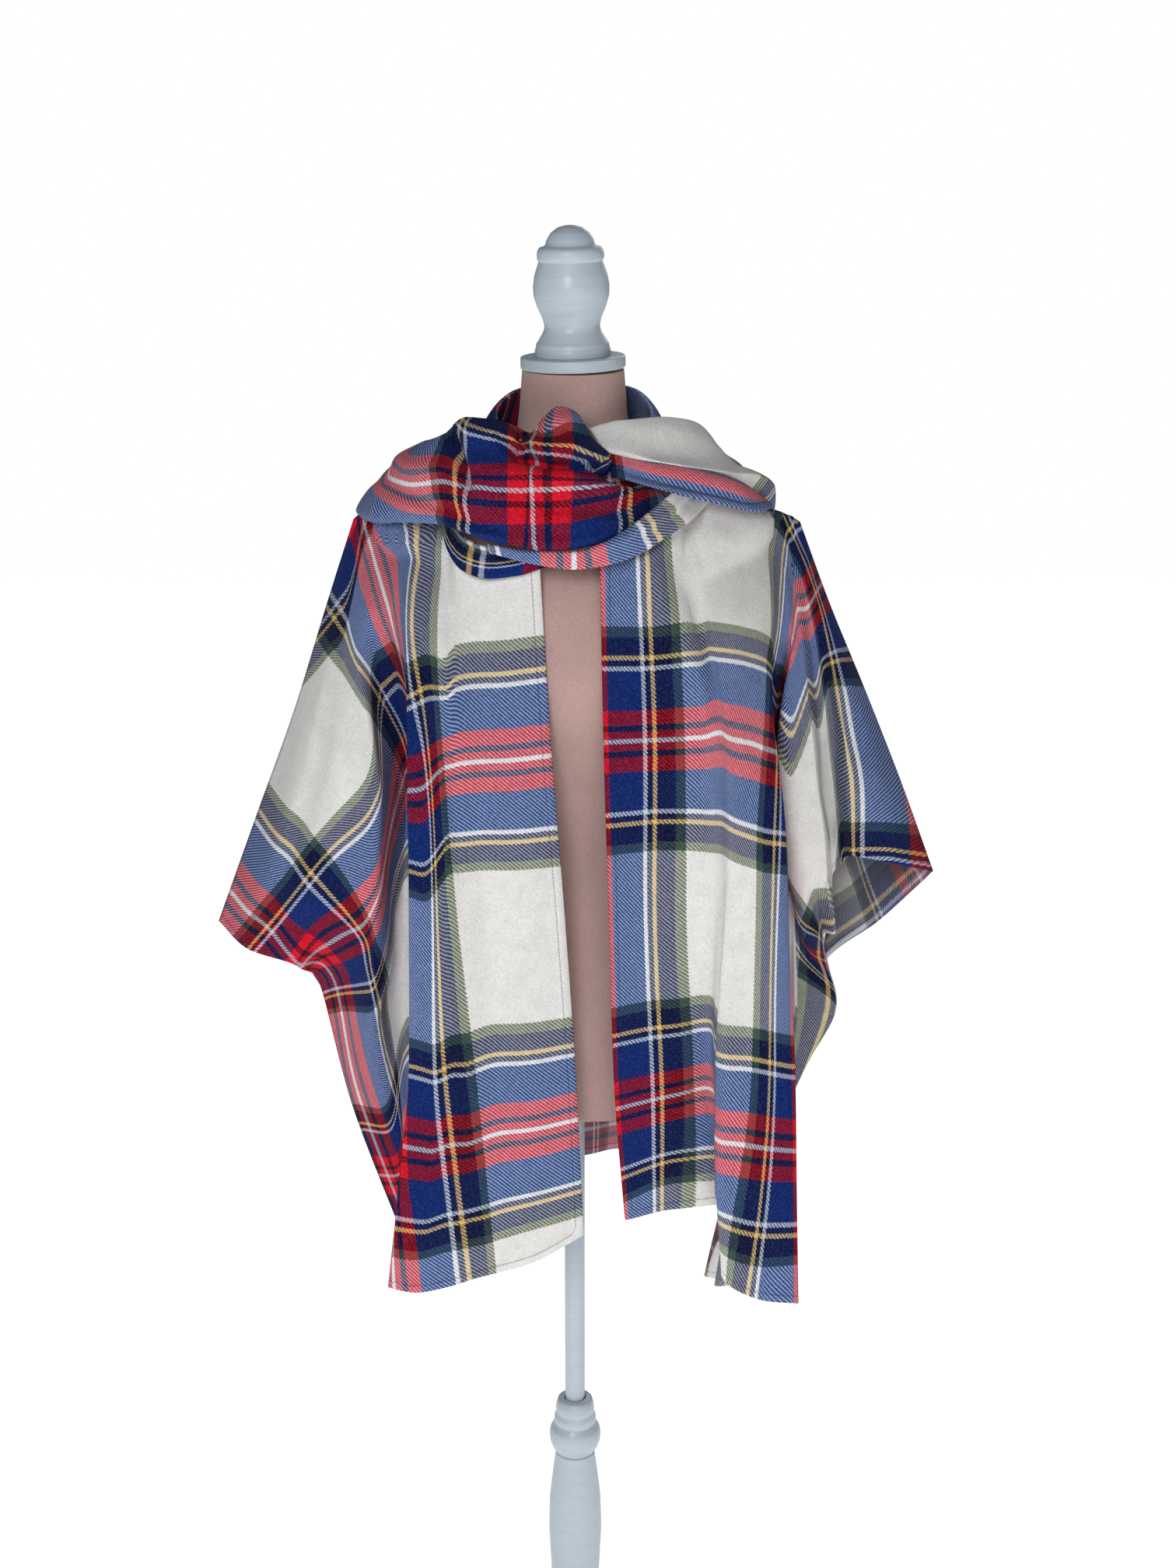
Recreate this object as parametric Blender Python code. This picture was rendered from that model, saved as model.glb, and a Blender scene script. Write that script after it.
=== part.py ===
"""Open tartan fleece poncho with its attached scarf, worn on a limbless dress form with a turned stand.

Frame: metres, +Z up, origin at the centre of the base's underside, the poncho's front facing -Y.
The wearer's right is -X. All tables below are in millimetres and become metres through MM.
"""
import math

import bmesh
import bpy
import numpy as np
from mathutils import Vector
from mathutils.bvhtree import BVHTree

MM = 0.001

# Cloth and clearances
WALL = 2.6 * MM            # fleece wall
SEAM = 0.15 * MM           # half of the gap left between two pieces along a seam
FORM_GAP = 2.3 * MM        # air kept between the cloth and the form under it
SEAT = 0.35 * MM           # air left under a stretch of scarf where it rests
SEAT_SAMPLES = 5           # points tried along each edge when a stretch of scarf comes to rest
SEAT_NEAR = 60 * MM        # how far away a piece can be that a stretch of scarf comes to rest on
INNER_GAP = 0.6 * MM       # least air between the wall's inner face and the form
SETTLE_PASSES = 8          # rounds of easing the cloth off the form
EDGE_SHARE = 0.6           # share of an edge middle's move that each of its ends makes
SEAT_ROUNDS = 80           # most slides of a stretch of scarf before it rests
SEAT_ENOUGH = 0.02 * MM    # a slide too short to matter
ACROSS = 2                 # grid steps between two folds
DOWN = (7, 3, 3, 3)        # grid steps between the five levels of a fold: more where it rounds the form
GARMENT_CENTRE = 1.0       # height inside the garment that its edges face away from

# Dress form
NECK_TOP = 1.469
TORSO_BOTTOM = 0.765
FORM_SIDES = 64
# Rings of the form: height, half width, depth in front, depth behind, squareness of the oval
FORM_RINGS = (
    (765, 141, 95, 95, 2.2),
    (770, 149, 101, 101, 2.2),
    (800, 156, 106, 108, 2.2),
    (860, 161, 108, 112, 2.2),
    (940, 148, 101, 104, 2.2),
    (1040, 119, 88, 84, 2.2),
    (1110, 126, 103, 87, 2.3),
    (1200, 142, 125, 97, 2.3),
    (1260, 155, 115, 103, 2.4),
    (1300, 170, 98, 101, 2.5),
    (1320, 181, 82, 92, 2.6),
    (1331, 181, 72, 84, 2.6),
    (1338, 174, 67, 78, 2.6),
    (1346, 159, 62, 73, 2.5),
    (1357, 130, 57, 68, 2.4),
    (1365, 108, 55, 65, 2.35),
    (1374, 86, 53, 61, 2.3),
    (1391, 62, 50, 54, 2.1),
    (1418, 51, 48, 49, 2.0),
    (1469, 46.5, 46.5, 46.5, 2.0),
)

# Turned wood
CAP_TILT = math.radians(1.3)     # the neck cap sits a little askew
CAP_CLEAR = 0.0014
STACKED = 0.0003                 # air between one turned piece and the next
DISC_HEIGHT = 0.0110
POLE_RADIUS = 0.0102
BASE_HEIGHT = 0.030
BORE_CLEAR = 0.0005              # air round the pole in the ball collar
TURNED_SIDES = 24
DISC_SIDES = 32
BASE_SIDES = 40

# Profiles of the turned pieces: radius, height above the piece's own foot
FINIAL_PROFILE = (
    (34.4, 0), (34.4, 6), (33.2, 8), (33.2, 11), (31.5, 13), (30.3, 15), (26.6, 21), (25.0, 26),
    (26.4, 33), (31.2, 44), (34.2, 54), (34.5, 62), (33.0, 72), (29.2, 83), (28.8, 84), (30.2, 86),
    (30.2, 92), (28.4, 96), (22.8, 97.5), (21.2, 103), (17.2, 109), (11.0, 113.5), (4.0, 115.4),
)
BALL_PROFILE = (
    (19.4, 0), (23.4, 6), (26.2, 14), (26.8, 22), (25.6, 28), (22.0, 33), (20.9, 35), (21.8, 37),
    (21.6, 42), (19.0, 47), (19.9, 49), (19.6, 55), (17.6, 62), (14.2, 63),
)
LEG_PROFILE = (
    (31.0, 0), (32.0, 5), (30.0, 11), (22.5, 15), (20.0, 22), (23.8, 26), (24.2, 32), (20.0, 38),
    (16.4, 48), (17.2, 66), (20.6, 104), (25.3, 170), (27.7, 222), (26.8, 260), (23.2, 292),
    (20.2, 314.5),
)
DISC_PROFILE = ((46.8, 0), (47.8, 1.2), (47.8, 10.2), (47.0, 11.0))
BASE_PROFILE = ((186, 0), (190, 3), (190, 16), (184, 23), (160, 26.5), (60, 29), (48, 30))

# The overarm line, shoulder to cuff, and the side seam are shared by front and back. All lie on the
# plane y = 0. Each fold below has five places along it, from the top of the piece to its lower edge.
RIGHT_FOLD = ((-204, 0, 1331), (-230, 0, 1255), (-265, 0, 1150), (-307, 0, 1040), (-347, 0, 935))
RIGHT_SEAM_TOP = (-250, 0, 867)
RIGHT_SEAM_MID = (-224, 0, 745)
RIGHT_CORNER = (-160, 0, 552)
LEFT_FOLD = ((210, 0, 1329), (239, 0, 1254), (276, 0, 1168), (314, 0, 1076), (348, 0, 987))
LEFT_SEAM_TOP = (248, 0, 893)
LEFT_SEAM_LOW = (259, 0, 848)
LEFT_SEAM_MID = (228, 0, 775)
LEFT_CORNER = (135, 0, 548)

# Front, wearer's right: a row for each fold, from the open edge to the overarm line
FRONT_RIGHT = (
    ("edge", (-30, -112, 1312), (-20, -136, 1150), (-8, -141, 990), (2, -141, 830), (9, -140, 668)),
    ("mid", (-78, -107, 1298), (-68, -143, 1140), (-58, -150, 975), (-50, -152, 810), (-42, -148, 642)),
    ("outer", (-106, -93, 1316), (-100, -147, 1150), (-95, -157, 980), (-91, -159, 810),
     (-90, -154, 631)),
    ("side", (-112, -50, 1350), (-118, -130, 1228), (-115, -162, 1050), (-113, -167, 835),
     (-120, -162, 625)),
    ("nape", (-105, 0, 1374), (-133, -117, 1252), (-132, -164, 1065), (-132, -169, 850),
     (-150, -167, 622)),
    ("ridge", (-135, 0, 1360), (-147, -112, 1262), (-147, -162, 1085), (-151, -168, 855),
     (-176, -165, 627)),
    ("wall", (-150, 0, 1354), (-156, -98, 1262), (-141, -122, 1085), (-143, -124, 850),
     (-158, -120, 614)),
    ("return", (-162, 0, 1349), (-165, -86, 1260), (-150, -84, 1088), (-153, -80, 850),
     (-112, -86, 600)),
    ("inner", (-172, 0, 1345), (-173, -78, 1254), (-155, -80, 1085), (-166, -68, 860),
     (-160, -48, 578)),
    ("corner", (-180, 0, 1342), (-181, -72, 1248), (-159, -84, 1080), (-178, -74, 860), RIGHT_CORNER),
    ("seam_mid", (-187, 0, 1340), (-189, -68, 1245), (-166, -96, 1085), (-184, -92, 900),
     RIGHT_SEAM_MID),
    ("seam_top", (-193, 0, 1338), (-197, -62, 1242), (-178, -105, 1100), (-188, -99, 965),
     RIGHT_SEAM_TOP),
    ("sleeve", (-198, 0, 1336), (-209, -50, 1242), (-212, -92, 1120), (-236, -94, 1010),
     (-264, -54, 908)),
    ("cuff", (-201, 0, 1334), (-220, -30, 1246), (-244, -62, 1132), (-280, -66, 1022),
     (-312, -42, 921)),
    ("fold",) + RIGHT_FOLD,
)

# Front, wearer's left: the same, with a pleat in the panel and two folds in the sleeve
FRONT_LEFT = (
    ("edge", (25, -113, 1312), (28, -136, 1150), (33, -141, 990), (38, -141, 830), (49, -140, 684)),
    ("mid", (62, -109, 1322), (74, -141, 1150), (80, -148, 985), (84, -150, 835), (94, -147, 699)),
    ("root", (96, -74, 1349), (114, -136, 1190), (124, -147, 1010), (126, -146, 850), (146, -140, 702)),
    ("pleat", (101, 0, 1374), (125, -122, 1240), (143, -161, 1070), (130, -166, 862), (139, -169, 643)),
    ("outer", (126, 0, 1363), (150, -116, 1245), (170, -157, 1065), (170, -168, 865),
     (176, -175, 619)),
    ("ridge", (148, 0, 1355), (170, -102, 1248), (190, -140, 1075), (203, -156, 870),
     (213, -169, 612)),
    ("wall", (160, 0, 1350), (178, -90, 1247), (184, -110, 1075), (192, -120, 865), (190, -122, 606)),
    ("return", (169, 0, 1346), (181, -80, 1245), (181, -78, 1080), (176, -74, 860), (140, -92, 588)),
    ("inner", (176, 0, 1343), (185, -72, 1243), (186, -68, 1082), (184, -62, 862), (168, -46, 566)),
    ("corner", (183, 0, 1341), (189, -66, 1241), (197, -49, 1099), (213, -69, 870), LEFT_CORNER),
    ("seam_mid", (187, 0, 1340), (194, -62, 1239), (210, -16, 1091), (194, -49, 860), LEFT_SEAM_MID),
    ("seam_low", (190, 0, 1339), (197, -61, 1238), (219, -44, 1116), (215, -31, 944), LEFT_SEAM_LOW),
    ("seam_top", (193, 0, 1338), (200, -61, 1237), (186, -85, 1112), (210, -87, 966), LEFT_SEAM_TOP),
    ("hem", (195, 0, 1337), (204, -61, 1237), (201, -101, 1078), (217, -102, 1025), (237, -64, 946)),
    ("strip", (197, 0, 1336), (209, -60, 1237), (225, -95, 1110), (233, -101, 1035), (244, -96, 960)),
    ("tuck", (200, 0, 1335), (217, -42, 1241), (231, -36, 1144), (239, -34, 1066), (248, -26, 992)),
    ("lap", (203, 0, 1334), (224, -36, 1245), (241, -34, 1152), (249, -32, 1078), (258, -24, 1006)),
    ("flap", (205, 0, 1332), (229, -31, 1249), (247, -56, 1165), (257, -62, 1092), (262, -58, 1022)),
    ("cuff", (207, 0, 1331), (234, -18, 1254), (264, -40, 1168), (288, -46, 1086), (306, -40, 1008)),
    ("fold",) + LEFT_FOLD,
)

# Back, from the right overarm line to the left one
BACK = (
    ("fold_right",) + RIGHT_FOLD,
    ("cuff_right", (-201, 0, 1334), (-221, 28, 1246), (-250, 56, 1130), (-287, 60, 1018),
     (-320, 40, 914)),
    ("sleeve_right", (-198, 0, 1336), (-211, 46, 1243), (-220, 84, 1120), (-249, 83, 1003),
     (-279, 44, 894)),
    ("seam_top_right", (-193, 0, 1338), (-200, 58, 1243), (-194, 97, 1105), (-218, 86, 959),
     RIGHT_SEAM_TOP),
    ("seam_mid_right", (-187, 0, 1340), (-193, 66, 1246), (-180, 99, 1092), (-186, 92, 900),
     RIGHT_SEAM_MID),
    ("corner_right", (-180, 0, 1342), (-187, 74, 1248), (-172, 92, 1085), (-182, 78, 860),
     RIGHT_CORNER),
    ("inner_right", (-166, 0, 1348), (-176, 86, 1254), (-160, 98, 1085), (-168, 92, 850),
     (-172, 62, 578)),
    ("flute_right", (-142, 0, 1357), (-156, 102, 1260), (-146, 132, 1078), (-152, 142, 850),
     (-150, 152, 600)),
    ("hollow_right", (-112, 0, 1370), (-122, 112, 1258), (-112, 124, 1068), (-106, 126, 850),
     (-98, 128, 610)),
    ("blade_right", (-64, 42, 1386), (-72, 117, 1235), (-62, 138, 1055), (-58, 150, 848),
     (-54, 160, 616)),
    ("centre", (0, 58, 1390), (-4, 112, 1232), (-4, 118, 1050), (0, 124, 845), (4, 132, 620)),
    ("blade_left", (64, 42, 1386), (70, 117, 1235), (60, 140, 1055), (56, 154, 848), (52, 166, 612)),
    ("hollow_left", (112, 0, 1370), (120, 111, 1258), (108, 121, 1068), (102, 122, 850),
     (100, 122, 606)),
    ("flute_left", (142, 0, 1357), (156, 100, 1258), (150, 130, 1078), (158, 138, 850),
     (152, 146, 594)),
    ("inner_left", (170, 0, 1346), (180, 82, 1250), (176, 94, 1085), (184, 84, 850), (176, 58, 570)),
    ("corner_left", (183, 0, 1341), (190, 70, 1244), (186, 88, 1088), (198, 74, 860), LEFT_CORNER),
    ("seam_mid_left", (187, 0, 1340), (195, 64, 1242), (195, 90, 1092), (206, 80, 905),
     LEFT_SEAM_MID),
    ("seam_low_left", (190, 0, 1339), (199, 60, 1241), (203, 90, 1098), (224, 84, 940),
     LEFT_SEAM_LOW),
    ("seam_top_left", (193, 0, 1338), (204, 54, 1240), (216, 87, 1106), (240, 82, 985),
     LEFT_SEAM_TOP),
    ("sleeve_left", (202, 0, 1333), (219, 36, 1246), (248, 66, 1128), (272, 66, 1020),
     (292, 38, 914)),
    ("fold_left",) + LEFT_FOLD,
)

# Scarf stretches: a row for each section, with its upper edge, its lower edge, its thickness and how
# far the middle of its outer face bulges. The outer face is to the left of upper x lower travel.
SCARF_COLLAR = (
    ((-66, -36, 1424), (-86, -44, 1386), 9, 1),
    ((-70, 0, 1439), (-92, 0, 1388), 10, 2),
    ((-55, 38, 1453), (-72, 54, 1392), 11, 3),
    ((0, 60, 1461), (0, 76, 1396), 12, 3),
    ((56, 40, 1455), (73, 54, 1393), 11, 3),
    ((72, 2, 1438), (91, 2, 1389), 10, 2),
    ((72, -30, 1414), (86, -42, 1386), 9, 1),
)
SCARF_SWATHE = (
    ((68, -60, 1382), (84, -82, 1360), 9, 2),
    ((44, -80, 1389), (60, -112, 1352), 12, 5),
    ((14, -90, 1430), (18, -134, 1336), 15, 9),
    ((-16, -92, 1445), (-18, -139, 1332), 15, 10),
    ((-48, -96, 1434), (-50, -138, 1336), 15, 10),
    ((-84, -92, 1436), (-86, -128, 1344), 15, 9),
    ((-114, -78, 1424), (-120, -110, 1350), 14, 8),
    ((-128, -46, 1414), (-156, -80, 1346), 13, 7),
    ((-130, -8, 1408), (-188, -36, 1341), 12, 6),
    ((-126, 36, 1400), (-202, 16, 1338), 12, 5),
    ((-116, 84, 1362), (-198, 70, 1320), 12, 4),
    ((-106, 115, 1302), (-188, 110, 1270), 11, 4),
    ((-98, 136, 1220), (-182, 138, 1198), 10, 3),
    ((-94, 148, 1120), (-178, 150, 1106), 9, 3),
    ((-92, 160, 1030), (-174, 160, 1022), 8, 2),
)
SCARF_FALL = (
    ((14, -68, 1428), (30, -88, 1410), 9, 2),
    ((42, -64, 1434), (54, -92, 1406), 13, 6),
    ((72, -48, 1434), (90, -84, 1398), 17, 10),
    ((102, -22, 1428), (130, -62, 1388), 18, 11),
    ((116, 8, 1416), (164, -22, 1378), 17, 10),
    ((118, 44, 1400), (188, 26, 1358), 15, 7),
    ((112, 86, 1366), (192, 74, 1328), 13, 5),
    ((102, 119, 1304), (185, 114, 1270), 12, 4),
    ((96, 138, 1220), (178, 140, 1196), 10, 3),
    ((94, 150, 1130), (174, 148, 1110), 9, 3),
    ((92, 160, 1056), (172, 154, 1040), 8, 2),
)
SCARF_UNDER = (
    ((66, -88, 1394), (70, -98, 1377), 6, 1),
    ((94, -80, 1392), (100, -92, 1370), 8, 2),
    ((124, -68, 1385), (132, -78, 1360), 8, 2),
    ((150, -52, 1376), (162, -62, 1350), 8, 2),
    ((170, -18, 1364), (184, -26, 1346), 7, 2),
    ((176, 12, 1358), (192, 8, 1344), 6, 1),
)
SCARF_BAND = (
    ((-74, -146, 1334), (-72, -147, 1326), 7, 1),
    ((-34, -152, 1329), (-32, -153, 1317), 10, 1),
    ((0, -154, 1329), (0, -154, 1313), 11, 2),
    ((26, -150, 1336), (31, -150, 1316), 12, 2),
    ((50, -141, 1348), (60, -138, 1324), 12, 2),
    ((68, -130, 1360), (82, -127, 1336), 12, 2),
    ((84, -120, 1370), (100, -117, 1346), 10, 2),
)
SCARF_LOOP = (
    ((-117, -62, 1376), (-118, -76, 1350), 6, 1),
    ((-110, -92, 1354), (-113, -99, 1327), 7, 2),
    ((-96, -112, 1336), (-98, -114, 1306), 8, 3),
    ((-72, -120, 1328), (-75, -121, 1300), 8, 3),
    ((-46, -122, 1325), (-47, -122, 1303), 7, 2),
    ((-22, -120, 1324), (-22, -119, 1310), 6, 1),
    ((2, -118, 1324), (2, -117, 1312), 5, 1),
)
# The order the scarf was wound in: each stretch, its table and the way it presses on what it lies on
SCARF = (
    ("scarf_under", SCARF_UNDER, (0, 0, -1)),
    ("scarf_swathe", SCARF_SWATHE, (0, 0, -1)),
    ("scarf_fall", SCARF_FALL, (0, 0, -1)),
    ("scarf_collar", SCARF_COLLAR, (0, 0, -1)),
    ("scarf_loop", SCARF_LOOP, (0, 1, 0)),
    ("scarf_band", SCARF_BAND, (0, 1, 0)),
)
BAND_SIDES = 12
BAND_STEPS = 2


def clear_scene():
    for item in list(bpy.data.objects):
        bpy.data.objects.remove(item)


def finish(name, color, roughness):
    """A Principled material for one kind of surface."""
    material = bpy.data.materials.get(name)
    if material is None:
        material = bpy.data.materials.new(name)
        material.use_nodes = True
        shader = material.node_tree.nodes["Principled BSDF"]
        shader.inputs["Base Color"].default_value = (*color, 1.0)
        shader.inputs["Roughness"].default_value = roughness
        shader.inputs["Metallic"].default_value = 0.0
    return material


def add_object(name, points, faces, material, smooth_angle=50):
    """A named object from points and faces, shaded smooth except at sharp edges."""
    mesh = bpy.data.meshes.new(name)
    mesh.from_pydata([tuple(p) for p in points], [], faces)
    body = bmesh.new()
    body.from_mesh(mesh)
    bmesh.ops.recalc_face_normals(body, faces=body.faces)
    body.to_mesh(mesh)
    body.free()
    mesh.materials.append(material)
    mesh.shade_smooth()
    mesh.set_sharp_from_angle(angle=math.radians(smooth_angle))
    item = bpy.data.objects.new(name, mesh)
    bpy.context.scene.collection.objects.link(item)
    return item


def spline(knots, steps):
    """Smooth interpolation along the first axis of knots that never swings past a knot. steps is how many
    points it makes for each stretch between two knots: one number, or one for each stretch."""
    knots = np.asarray(knots, float)
    count = len(knots)
    if isinstance(steps, int):
        steps = (steps,) * (count - 1)
    flat = knots.reshape(count, -1)
    gaps = np.linalg.norm(np.diff(flat, axis=0), axis=1) ** 0.5
    gaps = np.maximum(gaps, gaps.max() * 0.05)
    slopes = np.diff(flat, axis=0) / gaps[:, None]
    before = slopes[:-1]
    after = slopes[1:]
    tangents = np.empty_like(flat)
    tangents[0] = slopes[0]
    tangents[-1] = slopes[-1]
    turning = before * after <= 0
    tangents[1:-1] = np.where(turning, 0, 2 * before * after / np.where(turning, 1, before + after))
    rows = []
    for i in range(count - 1):
        for k in range(steps[i]):
            t = k / steps[i]
            rows.append(
                (2 * t**3 - 3 * t**2 + 1) * flat[i]
                + (t**3 - 2 * t**2 + t) * gaps[i] * tangents[i]
                + (3 * t**2 - 2 * t**3) * flat[i + 1]
                + (t**3 - t**2) * gaps[i] * tangents[i + 1]
            )
    rows.append(flat[-1])
    return np.array(rows).reshape((-1,) + knots.shape[1:])


def form_reach(points):
    """How far out points lie on the form's level ovals: 1 on its surface, more outside."""
    table = np.array(FORM_RINGS)
    heights = table[:, 0] * MM
    x, y, z = np.moveaxis(points, -1, 0)
    half, front, behind = (np.interp(z, heights, table[:, k]) * MM for k in (1, 2, 3))
    power = np.interp(z, heights, table[:, 4])
    depth = np.where(y < 0, front, behind)
    return (np.abs(x / half) ** power + np.abs(y / depth) ** power) ** (1 / power)


def off_form(points, clearance):
    """The move that brings each point to clearance from the form's surface, nought where it is clear."""
    probe = 0.4 * MM
    steps = np.eye(3) * probe
    reach = form_reach(points)
    slope = [(form_reach(points + step) - form_reach(points - step)) / (2 * probe) for step in steps]
    slope = np.stack(slope, axis=-1)
    steep = np.maximum(np.linalg.norm(slope, axis=-1), 1e-6)
    missing = clearance - (reach - 1) / steep
    missing = np.where(points[..., 2] < TORSO_BOTTOM - clearance, 0, np.clip(missing, 0, 0.02))
    return (missing / steep)[..., None] * slope


def settle(grid, clearance, on_plane, side):
    """Lays a grid of points over the form: its points and the faces between them come clear of it."""
    for _ in range(SETTLE_PASSES):
        grid += off_form(grid, clearance)
        for corners in ((0, 1), (1, 0), (1, 1)):
            a = grid[: grid.shape[0] - corners[0], : grid.shape[1] - corners[1]]
            b = grid[corners[0]:, corners[1]:]
            move = off_form((a + b) / 2, clearance)
            a += move * EDGE_SHARE
            b += move * EDGE_SHARE
        grid[..., 1] = side * np.maximum(side * grid[..., 1], SEAM)
        grid[on_plane, 1] = side * SEAM
    return grid


def normals_of(grid):
    """Unit normals at a grid's points: the mean of the unit normals of the faces around each."""
    face = np.cross(grid[1:, 1:] - grid[:-1, :-1], grid[:-1, 1:] - grid[1:, :-1])
    face /= np.maximum(np.linalg.norm(face, axis=2, keepdims=True), 1e-12)
    normals = np.zeros_like(grid)
    normals[:-1, :-1] += face
    normals[1:, :-1] += face
    normals[:-1, 1:] += face
    normals[1:, 1:] += face
    return normals / np.maximum(np.linalg.norm(normals, axis=2, keepdims=True), 1e-12)


def thick_grid(name, outer, inner, material):
    """A closed wall of triangles between two grids of points that have the same shape."""
    across, down = outer.shape[:2]
    layer = across * down

    def at(i, j, side):
        return side * layer + i * down + j

    faces = []
    for i in range(across - 1):
        for j in range(down - 1):
            ring = [(i, j), (i, j + 1), (i + 1, j + 1), (i + 1, j)]
            lengths = [np.linalg.norm(outer[ring[k]] - outer[ring[k + 2]]) for k in (0, 1)]
            if lengths[1] < lengths[0]:
                ring = ring[1:] + ring[:1]
            for corners in (ring[:3], (ring[2], ring[3], ring[0])):
                faces.append([at(*corner, 0) for corner in corners])
                faces.append([at(*corner, 1) for corner in corners][::-1])
    rim = [(i, 0) for i in range(across)] + [(across - 1, j) for j in range(1, down)]
    rim += [(i, down - 1) for i in range(across - 2, -1, -1)] + [(0, j) for j in range(down - 2, 0, -1)]
    for a, b in zip(rim, rim[1:] + rim[:1]):
        faces.append((at(*a, 0), at(*b, 0), at(*b, 1), at(*a, 1)))
    points = np.concatenate([outer.reshape(-1, 3), inner.reshape(-1, 3)])
    return add_object(name, points, faces, material, 60)


def shared_edges(grid, side):
    """Which points of a panel lie on the plane y = 0, where front and back meet."""
    on_plane = np.zeros(grid.shape[:2], bool)
    for j in (0, -1):
        on_plane[:, j] = side * grid[:, j, 1] < SEAM
    on_plane[-1, :] = True
    if side > 0:
        on_plane[0, :] = True
    return on_plane


def edge_normal(grid, i, j):
    """The outward direction, in the plane y = 0, of a shared edge's point."""
    across, down = grid.shape[:2]
    total = np.zeros(3)
    if i in (0, across - 1):
        total += facing_out(grid[i, min(j + 1, down - 1)] - grid[i, max(j - 1, 0)], grid[i, j])
    if j in (0, down - 1):
        total += facing_out(grid[min(i + 1, across - 1), j] - grid[max(i - 1, 0), j], grid[i, j])
    return total / np.linalg.norm(total)


def facing_out(along, point):
    """A unit vector square to along, in the plane y = 0, that faces away from the garment's middle."""
    square = np.array((along[2], 0.0, -along[0]))
    square /= np.linalg.norm(square)
    away = np.array((point[0], 0.0, point[2] - GARMENT_CENTRE))
    return square if square @ away > 0 else -square


def cloth_panel(name, folds, side, material):
    """A thin cloth wall through its folds. side is -1 for a front and +1 for the back: the wall stays on
    its own side of the plane y = 0, where fronts and back meet edge to edge."""
    knots = np.array([fold[1:] for fold in folds], float) * MM
    down = np.transpose(spline(np.transpose(knots, (1, 0, 2)), DOWN), (1, 0, 2))
    grid = spline(down, ACROSS)
    clearance = WALL + FORM_GAP
    on_plane = shared_edges(grid, side)
    grid = settle(grid, clearance, on_plane, side)
    normals = normals_of(grid)
    middle = normals[grid.shape[0] // 3, grid.shape[1] // 2]
    if middle[1] * side < 0:
        normals = -normals
    for i, j in np.argwhere(on_plane):
        normals[i, j] = edge_normal(grid, i, j)
    inner = grid - WALL * normals
    eased = settle(inner.copy(), INNER_GAP, on_plane, side)
    return thick_grid(name, grid + eased - inner, eased, material)


def soft_band(name, rows, material):
    """A folded length of scarf: a flattened closed form through its sections."""
    upper = spline([np.array(row[0]) * MM for row in rows], BAND_STEPS)
    lower = spline([np.array(row[1]) * MM for row in rows], BAND_STEPS)
    sizes = spline([np.array(row[2:4], float) * MM for row in rows], BAND_STEPS)
    centre = (upper + lower) / 2
    travel = np.gradient(centre, axis=0)
    width = upper - lower
    face = np.cross(width, travel)
    face /= np.linalg.norm(face, axis=1, keepdims=True)
    points = []
    faces = []
    count = len(centre)
    for i in range(count):
        for k in range(BAND_SIDES):
            angle = 2 * math.pi * k / BAND_SIDES
            along = math.copysign(abs(math.cos(angle)) ** 0.8, math.cos(angle))
            out = math.copysign(abs(math.sin(angle)) ** 0.8, math.sin(angle))
            bulge = sizes[i, 1] * (1 - along * along)
            points.append(centre[i] + width[i] / 2 * along + face[i] * (sizes[i, 0] / 2 * out + bulge))
    for i in range(count - 1):
        for k in range(BAND_SIDES):
            n = (k + 1) % BAND_SIDES
            a = i * BAND_SIDES
            faces.append((a + k, a + n, a + BAND_SIDES + n, a + BAND_SIDES + k))
    faces.append(tuple(range(BAND_SIDES))[::-1])
    faces.append(tuple(range((count - 1) * BAND_SIDES, count * BAND_SIDES)))
    return add_object(name, points, faces, material, 60)


def surface_samples(item):
    """Points all over an object's surface: along its edges and at the middles of its faces."""
    mesh = item.data
    ends = [[mesh.vertices[v].co for v in edge.vertices] for edge in mesh.edges]
    along = [a.lerp(b, k / SEAT_SAMPLES) for a, b in ends for k in range(SEAT_SAMPLES)]
    return along + [face.center.copy() for face in mesh.polygons]


def surface_tree(item, move):
    points = [v.co + move for v in item.data.vertices]
    return BVHTree.FromPolygons(points, [face.vertices[:] for face in item.data.polygons])


def seat(items, others, direction):
    """Slides pieces of cloth together along direction until they rest, a hair clear, on one of the others."""
    direction = Vector(direction)
    move = Vector()
    samples = [p for item in items for p in surface_samples(item)]
    trees = [surface_tree(other, Vector()) for other in others]
    here = [surface_tree(item, move) for item in items]
    around = [p for other in others for p in surface_samples(other)]
    around = [p for p in around if any(tree.find_nearest(p, SEAT_NEAR)[0] for tree in here)]
    for _ in range(SEAT_ROUNDS):
        found = [tree.find_nearest(p + move, SEAT_NEAR) for tree in trees for p in samples]
        here = [surface_tree(item, move) for item in items]
        found += [tree.find_nearest(p, SEAT_NEAR) for tree in here for p in around]
        air = min((hit[3] for hit in found if hit[0]), default=0.0) - SEAT
        if air < SEAT_ENOUGH:
            break
        move += direction * air
    for item in items:
        for vertex in item.data.vertices:
            vertex.co += move


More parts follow.
